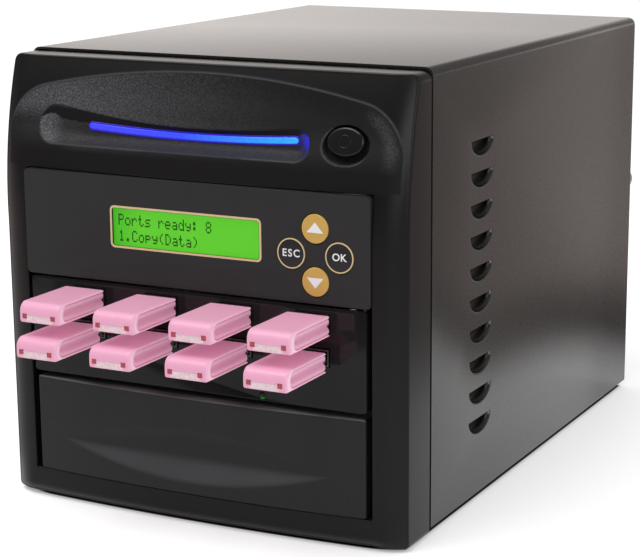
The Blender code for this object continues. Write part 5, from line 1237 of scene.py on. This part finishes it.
# %% Side view of a drive
DRIVE_HALF = 0.0089
DRIVE_LENGTH = 0.0297
DRIVE_RISE = 0.00385
NOSE_TOP = 0.0036
NOSE_FOOT = 0.0010
LONG_EDGE = 0.0005
NOSE_EDGE = 0.0013
SIDE_EDGE = NOSE_EDGE * 0.7
ROUND_SIDE = DRIVE_HALF - SIDE_EDGE
NOSE_BLEND = 0.0012
NEARLY_ROUND = 0.99
LEAST_FOOT = 0.0002

# Each ring: drawn in all round, drawn in at the nose, place across, crease shade, ridge highlight (both
# painted).
SIDE_RINGS = (
    (0.0005, 0.0022, 0.00890, 0.0, 0.8), (0.00062, 0.0026, 0.00886, 0.0, 0.3),
    (0.00078, 0.0029, 0.00830, 1.0, 0.0), (0.00100, 0.0030, 0.00825, 1.0, 0.0),
    (0.00125, 0.0031, 0.00855, 0.0, 0.2), (0.00190, 0.0033, 0.00875, 0.0, 0.3),
    (0.00260, 0.0035, 0.00868, 0.0, 0.0), (0.00320, 0.0037, 0.00840, 0.4, 0.0),
    (0.00366, 0.0039, 0.00790, 0.1, 0.0),
)


def side_view(inset, at_nose):
    """Rear, underside, nose and top of a drive as Y and Z, drawn in by a distance."""
    half = DRIVE_RISE - inset
    blend = min(max((at_nose - NOSE_EDGE) / NOSE_BLEND, 0), 1)
    top = (NOSE_TOP - inset) * (1 - blend) + half * NEARLY_ROUND * blend
    foot = max(NOSE_FOOT - inset, LEAST_FOOT) * (1 - blend) + half * NEARLY_ROUND * blend
    nose = -DRIVE_LENGTH + at_nose
    points = [(y, -half) for y in np.linspace(0, nose + foot, 7)[:-1]]
    points += arc((nose + foot, -half + foot), foot, 270, 180, 8)
    points += arc((nose + top, half - top), top, 180, 90, 10)
    return points + [(y, half) for y in np.linspace(nose + top, 0, 7)[1:]]


# %% The shell of a drive
def build_drive():
    """Closed shell of one drive, its rear end at Y zero."""
    rings = [(0.0, 0.0, ROUND_SIDE * share, 0.0, 0.0) for share in np.linspace(0, 1, 6)]
    for turn in np.radians((18, 36, 54, 72)):
        drawn = 1 - math.cos(turn)
        side = DRIVE_HALF - SIDE_EDGE * (1 - math.sin(turn))
        rings.append((LONG_EDGE * drawn, NOSE_EDGE * drawn, side, 0.0, 0.5 * drawn))
    rings += SIDE_RINGS
    rings = [(a, b, -x, crease, ridge) for a, b, x, crease, ridge in reversed(rings[1:])] + rings
    bm = bmesh.new()
    layers = [bm.verts.layers.float.new(label) for label in ("crease", "ridge")]
    rows = [[(x, y, z) for y, z in side_view(inset, at_nose)] for inset, at_nose, x, _, _ in rings]
    loops = loft(bm, rows, closed=False, ends=(0, -1))
    for loop, ring in zip(loops, rings):
        for vert in loop:
            vert[layers[0]], vert[layers[1]] = ring[3:]
    fill(bm, [loop[0] for loop in loops] + [loop[-1] for loop in reversed(loops)])
    return finished(bm)


# %% [markdown]
# Each nose has a small clear window with a bright bar and a coloured square at each end. A
# cut for it would need a much finer shell, so thin plates that follow the nose lie on it.

# %% Window at the nose of a drive
WINDOW_HALF = (0.0064, 0.0013)
WINDOW_Z = -0.00185
WINDOW_ROOT = 0.0004


def nose_y(z):
    """Y of the nose at a height."""
    for radius, drop in ((NOSE_FOOT, -DRIVE_RISE + NOSE_FOOT - z), (NOSE_TOP, z - DRIVE_RISE + NOSE_TOP)):
        if drop > 0:
            return -DRIVE_LENGTH + radius - math.sqrt(radius ** 2 - drop ** 2)
    return -DRIVE_LENGTH


def patch(bm, x_low, x_high, z_low, z_high, proud, slot, steps=8):
    """A thin plate that follows the nose, with closed sides."""
    rows = []
    for z in np.linspace(z_low, z_high, steps + 1):
        front, rear = nose_y(z) - proud, nose_y(z) + WINDOW_ROOT
        rows.append([(x_low, front, z), (x_high, front, z), (x_high, rear, z), (x_low, rear, z)])
    for row in loft(bm, rows, ends=(0, -1)):
        for face in {face for vert in row for face in vert.link_faces}:
            face.material_index = slot


def build_window():
    """Clear strip, a bright bar over it, a coloured square at each end and bright marks."""
    bm = bmesh.new()
    half = WINDOW_HALF[0]
    low, high = WINDOW_Z - WINDOW_HALF[1], WINDOW_Z + WINDOW_HALF[1]
    patch(bm, -half + 0.0004, half - 0.0004, low - 0.0003, high - 0.0004, 0.00008, 0)
    for near, far in ((-half - 0.0008, -half + 0.0011), (half - 0.0011, half + 0.0008)):
        patch(bm, near, far, low + 0.0010, high + 0.0002, 0.00018, 1, 4)
    patch(bm, -half + 0.0011, half - 0.0011, high - 0.00062, high - 0.00040, 0.00022, 2, 3)
    for place in (-0.0034, 0.0012, 0.0034):
        patch(bm, place, place + 0.0011, low - 0.00030, low + 0.00015, 0.00016, 2, 2)
    return finished(bm)


for number in range(1, 9):
    drive = "drive_%d" % number
    x, z = front_of(drive + "_body")[0]
    spot = Matrix.Translation((x, local_box(drive + "_body")[1].y, z))
    shell, window = build_drive(), build_window()
    shell.transform(spot)
    window.transform(spot)
    settle(shell, drive + "_shell", pink, drive + "_body", drive, 48.0)
    settle(window, drive + "_window", [clear_skirt, rose, silver], body=drive)

# %% [markdown]
# ## Blank cover of bay 3
# The cover's face is crowned from side to side. An eye-shaped scoop is pressed into it, and
# all its edges are softly rounded. The face is a fine grid pushed back by the crown and the
# scoop, with the side walls and the hollow behind. The same helpers roll its rim back that
# close the moulded front.

# %% Face of the blank cover
COVER_LOW, COVER_HIGH = local_box("bay_cover")
COVER_HALF = 0.0724
COVER_CROWN = 0.0034
COVER_EDGE_Y = COVER_LOW.y + COVER_CROWN
COVER_MIDDLE_Z = (COVER_LOW.z + COVER_HIGH.z) / 2
COVER_ROUND = 0.0007
COVER_WALL = 0.0022
COVER_WALL_END = COVER_EDGE_Y + 0.0130
COVER_BACK = COVER_EDGE_Y + 0.0030
SCOOP_MIDDLE = (-0.0017, COVER_MIDDLE_Z - 0.0042)
SCOOP_HALF = (0.0610, 0.0112)
SCOOP_DEPTH = 0.0034
TAB_HALF = 0.008
TAB_LENGTH = 0.004
TAB_ROOT = 0.0011
SLOPE_STEP = 0.0003
FULL_SLOPE = 0.40
TOP_RIM = 0.0006
TOP_FADE = 0.0004
TOP_EDGE_HIGHLIGHT = 0.45


def cover_y(x, z):
    """Y of the blank cover's face."""
    crown = COVER_CROWN * (1 - (x / COVER_HALF) ** 2)
    reach = np.clip(1 - ((x - SCOOP_MIDDLE[0]) / SCOOP_HALF[0]) ** 2, 0, 1)
    up = (z - SCOOP_MIDDLE[1]) / SCOOP_HALF[1] / np.maximum(reach, 1e-6)
    scoop = SCOOP_DEPTH * reach ** 1.5 * np.clip(1 - up ** 2, 0, 1) ** 2
    return COVER_EDGE_Y - crown + scoop


# %% The blank cover as a mesh
def build_blank():
    """Grid face, rounded edges, walls, a hollow rear and a snap tab at each side."""
    columns = np.linspace(-COVER_HALF + COVER_ROUND, COVER_HALF - COVER_ROUND, 190)
    rows = np.linspace(COVER_LOW.z + COVER_ROUND, COVER_HIGH.z - COVER_ROUND, 84)
    bm = bmesh.new()
    loft(bm, [[(x, float(cover_y(x, z)), z) for x in columns] for z in rows], closed=False)
    loop = roll_rim(bm, rim_loops(bm)[0], COVER_ROUND, 1, (22, 45, 67, 90))
    loop = extend(bm, loop, to_y=COVER_WALL_END)
    loop = extend(bm, loop, -COVER_WALL)
    fill(bm, extend(bm, loop, to_y=COVER_BACK))
    # The slope share places the painted light on the scoop's lower part, and the rim share the painted
    # highlight along the top edge.
    slope, rim = [bm.verts.layers.float.new(label) for label in ("slope", "rim")]
    for vert in bm.verts:
        x, z = vert.co.x, vert.co.z
        rise = (cover_y(x, z + SLOPE_STEP) - cover_y(x, z - SLOPE_STEP)) / (2 * SLOPE_STEP)
        vert[slope] = float(ease(rise / FULL_SLOPE))
        at_top = ease((z - COVER_HIGH.z + TOP_RIM) / TOP_FADE)
        vert[rim] = TOP_EDGE_HIGHLIGHT * float(at_top) * (vert.co.y < COVER_EDGE_Y + TOP_RIM)
    for side in (-1, 1):
        near, far = sorted((side * (COVER_HALF - TAB_ROOT), side * COVER_HIGH.x))
        add_box(bm, (near, COVER_WALL_END - TAB_LENGTH, COVER_MIDDLE_Z - TAB_HALF),
                (far, COVER_HIGH.y, COVER_MIDDLE_Z + TAB_HALF))
    return finished(bm)


settle(build_blank(), "blank_cover", blank_look, "bay_cover", crisp=48.0)

# %% [markdown]
# ## Rear: fan guard and thumbscrews
# The fan's blades turn behind a wire guard. Its rings repeat, so Geometry Nodes draw them as
# curves and give them a wire's thickness. Straight rods cross them, and four short arms end
# in screw eyes.

# %% Sizes of the wire guard
GUARD_REAR = local_box("fan_guard")[1].y
GUARD_MIDDLE, GUARD_HALF = front_of("fan_guard")
GUARD_REACH = 0.0373
GUARD_WIRE = 0.0009
GUARD_RINGS = 7
GUARD_SPOKES = 4
GUARD_SUNK = 0.0010
SPOKE_LIFT = Vector((0, 0, GUARD_WIRE * 1.6))
EYE_SHARE = 0.88
EYE_RADII = (0.0036, 0.0030)
EYE_HALF = Vector((0, 0, 0.0008))

# %% Rings of the guard by Geometry Nodes
n, sizes = new_tree("wire_guard", Rings=3, Reach=0.03, Wire=0.001)
first = n.maths("DIVIDE", sizes["Reach"], sizes["Rings"])
ring = n.add("GeometryNodeCurvePrimitiveCircle", {"Resolution": 64, "Radius": first}).outputs[0]
points = n.add("GeometryNodeMeshLine", {"Count": sizes["Rings"], "Offset": (0, 0, 0)}).outputs[0]
scale = n.maths("ADD", n.add("GeometryNodeInputIndex").outputs[0], 1.0)
spread = {"Points": points, "Instance": ring, "Scale": scale}
rings = n.add("GeometryNodeInstanceOnPoints", spread).outputs[0]
real = n.add("GeometryNodeRealizeInstances", {"Geometry": rings}).outputs[0]
wire = n.add("GeometryNodeCurvePrimitiveCircle", {"Resolution": 10, "Radius": sizes["Wire"]}).outputs[0]
tube = n.add("GeometryNodeCurveToMesh", {"Curve": real, "Profile Curve": wire}).outputs[0]
guard_rings = grow(n, tube, chrome, Rings=GUARD_RINGS, Reach=GUARD_REACH, Wire=GUARD_WIRE)


# %% The guard with its spokes and eyes
def build_guard():
    """The rings from the tree, crossed spokes, and four arms with screw eyes."""
    bm = bmesh.new()
    bm.from_mesh(guard_rings)
    for number in range(GUARD_SPOKES):
        way = Matrix.Rotation(math.pi * (number + 0.5) / GUARD_SPOKES, 3, "Z") @ Vector((GUARD_REACH, 0, 0))
        rod(bm, SPOKE_LIFT - way, SPOKE_LIFT + way, GUARD_WIRE)
    for x, y in ((-1, -1), (-1, 1), (1, -1), (1, 1)):
        end = Vector((x * GUARD_HALF[0], y * GUARD_HALF[1], 0)) * EYE_SHARE
        rod(bm, Vector((x, y, 0)).normalized() * GUARD_REACH, end, GUARD_WIRE)
        rod(bm, end - EYE_HALF, end + EYE_HALF, *EYE_RADII, 20)
    place = Vector((GUARD_MIDDLE[0], GUARD_REAR - GUARD_SUNK, GUARD_MIDDLE[1]))
    bmesh.ops.transform(bm, matrix=Matrix.Translation(place) @ UPRIGHT, verts=bm.verts)
    return finished(bm)


settle(build_guard(), "wire_guard", chrome, "fan_guard", crisp=50.0)

# %% [markdown]
# Two thumbscrews hold the cover. Their heads are knurled, so the head's outline is a ring of
# small teeth: every second corner is drawn in, but only where the head is at its widest.

# %% Thumbscrews
TEETH = 32
TOOTH = 0.93
SEAT = CASE_END + 0.0003


def build_screw(name):
    """Knurled head with a rounded face, and its shank."""
    low, high = local_box(name)
    middle, half = front_of(name)
    profile = [(0.55, high.y + 0.0002), (0.86, high.y), (0.97, high.y - 0.0006), (1.0, high.y - 0.0012),
               (1.0, SEAT + 0.0012), (0.9, SEAT + 0.0009), (0.9, SEAT), (0.32, SEAT), (0.32, low.y)]
    rows = []
    for share, y in profile:
        outer = circle(middle, half[0] * share, TEETH * 2)
        inner = circle(middle, half[0] * share * (TOOTH if share > 0.95 else 1.0), TEETH * 2)
        rows.append([(x, y, z) for pair in zip(outer[::2], inner[1::2]) for x, z in pair])
    bm = bmesh.new()
    loft(bm, rows, ends=(0, -1))
    return finished(bm)


for name in ("cover_screw_left", "cover_screw_right"):
    settle(build_screw(name), name + "_head", plated, name, crisp=28.0)

# %% [markdown]
# ## Studio
# The photograph has a plain white studio. The floor is pale, one soft lamp hangs above and
# one stands at the side, and the sky is white for the camera. Black plastic and dark paint
# show mostly what they reflect, so the floor and the sky have darker parts that only
# reflections see.

# %% Floor
floor_mesh = bpy.data.meshes.new("floor")
floor_mesh.from_pydata([(-6, -6, 0), (6, -6, 0), (6, 6, 0), (-6, 6, 0)], [], [(0, 1, 2, 3)])
floor = put("floor", floor_mesh)
floor_look = finish("pale_floor", (0.90, 0.90, 0.90), 0.9)
floor_mesh.materials.append(floor_look)
n = Nodes(floor_look)
x, y, z, spot = n.axes()
rays = n.add("ShaderNodeLightPath").outputs
mirror = rays["Is Glossy Ray"]


# %% Short names for sums of shares
def step_in(value, start, end):
    """A smooth step from 0 to 1."""
    return n.span(value, start, end, smooth=True)


def both(*values):
    """Product of two shares."""
    return n.maths("MULTIPLY", *values)


def either(*values):
    """The larger of two shares."""
    return n.maths("MAXIMUM", *values)


def plus(value, factor, base):
    """A value times a factor, added to a base."""
    return n.maths("MULTIPLY_ADD", value, factor, base)


def along(vector, way):
    """How far a vector reaches in a direction."""
    return n.add("ShaderNodeVectorMath", {0: vector, 1: way}, operation="DOT_PRODUCT").outputs["Value"]


# %% Parts of the floor that reflections see darker
BACKWARD = (0.650, 0.760, 0.0)
FLOOR_PAINT = (0.92, 0.92, 0.92)
FLOOR_AHEAD = (0.50, 0.50, 0.50)
FLOOR_BEYOND = (0.11, 0.094, 0.088)
FLOOR_BEHIND = (0.33, 0.275, 0.255)
FLOOR_REAR_LEFT = (0.46, 0.39, 0.37)

far = n.add("ShaderNodeVectorMath", {0: spot}, operation="LENGTH").outputs["Value"]
across = along(spot, BACKWARD)
beyond = both(either(step_in(far, 0.40, 0.60), step_in(across, 0.166, 0.252)), mirror)
ahead = both(either(step_in(y, -0.095, -0.130), step_in(x, -0.09, -0.15)), mirror)
paint = n.mix(ahead, FLOOR_PAINT, FLOOR_AHEAD)
paint = n.mix(beyond, paint, FLOOR_BEYOND)
paint = n.mix(both(beyond, step_in(across, 0.26, 0.40)), paint, FLOOR_BEHIND)
paint = n.mix(both(beyond, step_in(plus(x, -1.5, y), 0.08, 0.36)), paint, FLOOR_REAR_LEFT)

# %% Painted shadow on the floor under the case, whose front edge bows forward
CASE_SHADOW = (0.004, 0.004, 0.004)

turned = either(n.maths("SUBTRACT", n.maths("ABSOLUTE", x), 0.070), 0.0)
bow = plus(both(turned, turned), -15.6, plus(both(x, x), -0.533, y))
case_shadow_mask = both(both(step_in(x, -0.0868, -0.0740), step_in(x, 0.0855, 0.0845)),
               both(step_in(bow, -0.1124, -0.1110), step_in(y, 0.1435, 0.1415)))
lift = n.maths("SUBTRACT", either(rays["Is Camera Ray"], mirror), either(beyond, ahead))
n.into(Base_Color=n.mix(case_shadow_mask, paint, CASE_SHADOW), Emission_Color=(1, 1, 1, 1),
       Emission_Strength=both(both(lift, n.maths("SUBTRACT", 1.0, case_shadow_mask)), plus(mirror, -0.10, 0.30)))

# %% [markdown]
# The sky has three faces. The camera sees plain white. The light of the scene is that of an
# overcast sky, strongest above. Reflections see a gradient with a darker and a brighter
# part, as they would between a studio's screens.

# %% What reflections see of the sky
BRIGHT_WAY = (0.543, -0.790, 0.286)

world = bpy.data.worlds.new("studio")
bpy.context.scene.world = world
world.use_nodes = True
n = Nodes(world, "Background")
x, y, z, way = n.axes("Generated")
rays = n.add("ShaderNodeLightPath").outputs
mirror = rays["Is Glossy Ray"]
rise = plus(z, 0.9, plus(x, -0.55, y))
gradient = n.span(rise, -0.08, 0.50, 0.04, 1.0, smooth=True)
shaded = both(step_in(x, -0.30, 0.02), step_in(z, -0.02, 0.14))
rearward = n.span(y, 0.0, 0.5)
bright = plus(n.span(x, -0.34, -0.56, 0.0, 0.42), rearward, 1.0)
edge = n.span(x, -0.64, -0.84, 1.0, 0.12)
calm = both(gradient, both(bright, both(edge, plus(shaded, -0.72, 1.0))))
near = along(way, BRIGHT_WAY)
reflected = plus(step_in(near, 0.955, 0.990), 2.6, calm)

# %% Light of the sky, and the sky itself
overcast = n.span(z, 0.0, 0.8, 0.27, 0.95)
shown = either(rays["Is Camera Ray"], rays["Is Transmission Ray"])
soft = n.add("ShaderNodeMix", {"Factor": mirror, "A": overcast, "B": reflected}).outputs[0]
n.into(Color=n.mix(both(rearward, mirror), (1, 1, 1), (1.06, 1.0, 0.96)),
       Strength=n.add("ShaderNodeMix", {"Factor": shown, "A": soft, "B": 1.0}).outputs[0])


# %% Lamps
def lamp(name, place, target, size, power):
    """A soft rectangular lamp that points at a target."""
    data = bpy.data.lights.new(name, "AREA")
    data.shape = "RECTANGLE"
    data.size, data.size_y = size
    data.energy = power
    aim = (Vector(target) - Vector(place)).to_track_quat("-Z", "Y")
    put(name, data).matrix_world = Matrix.Translation(place) @ aim.to_matrix().to_4x4()


lamp("overhead", (-0.25, -0.55, 1.25), (0, 0, 0.08), (1.0, 0.6), 7.5)
lamp("side_fill", (1.3, -0.35, 0.75), (0, 0, 0.05), (0.7, 0.9), 2.5)
bpy.context.scene.view_settings.view_transform = "Standard"
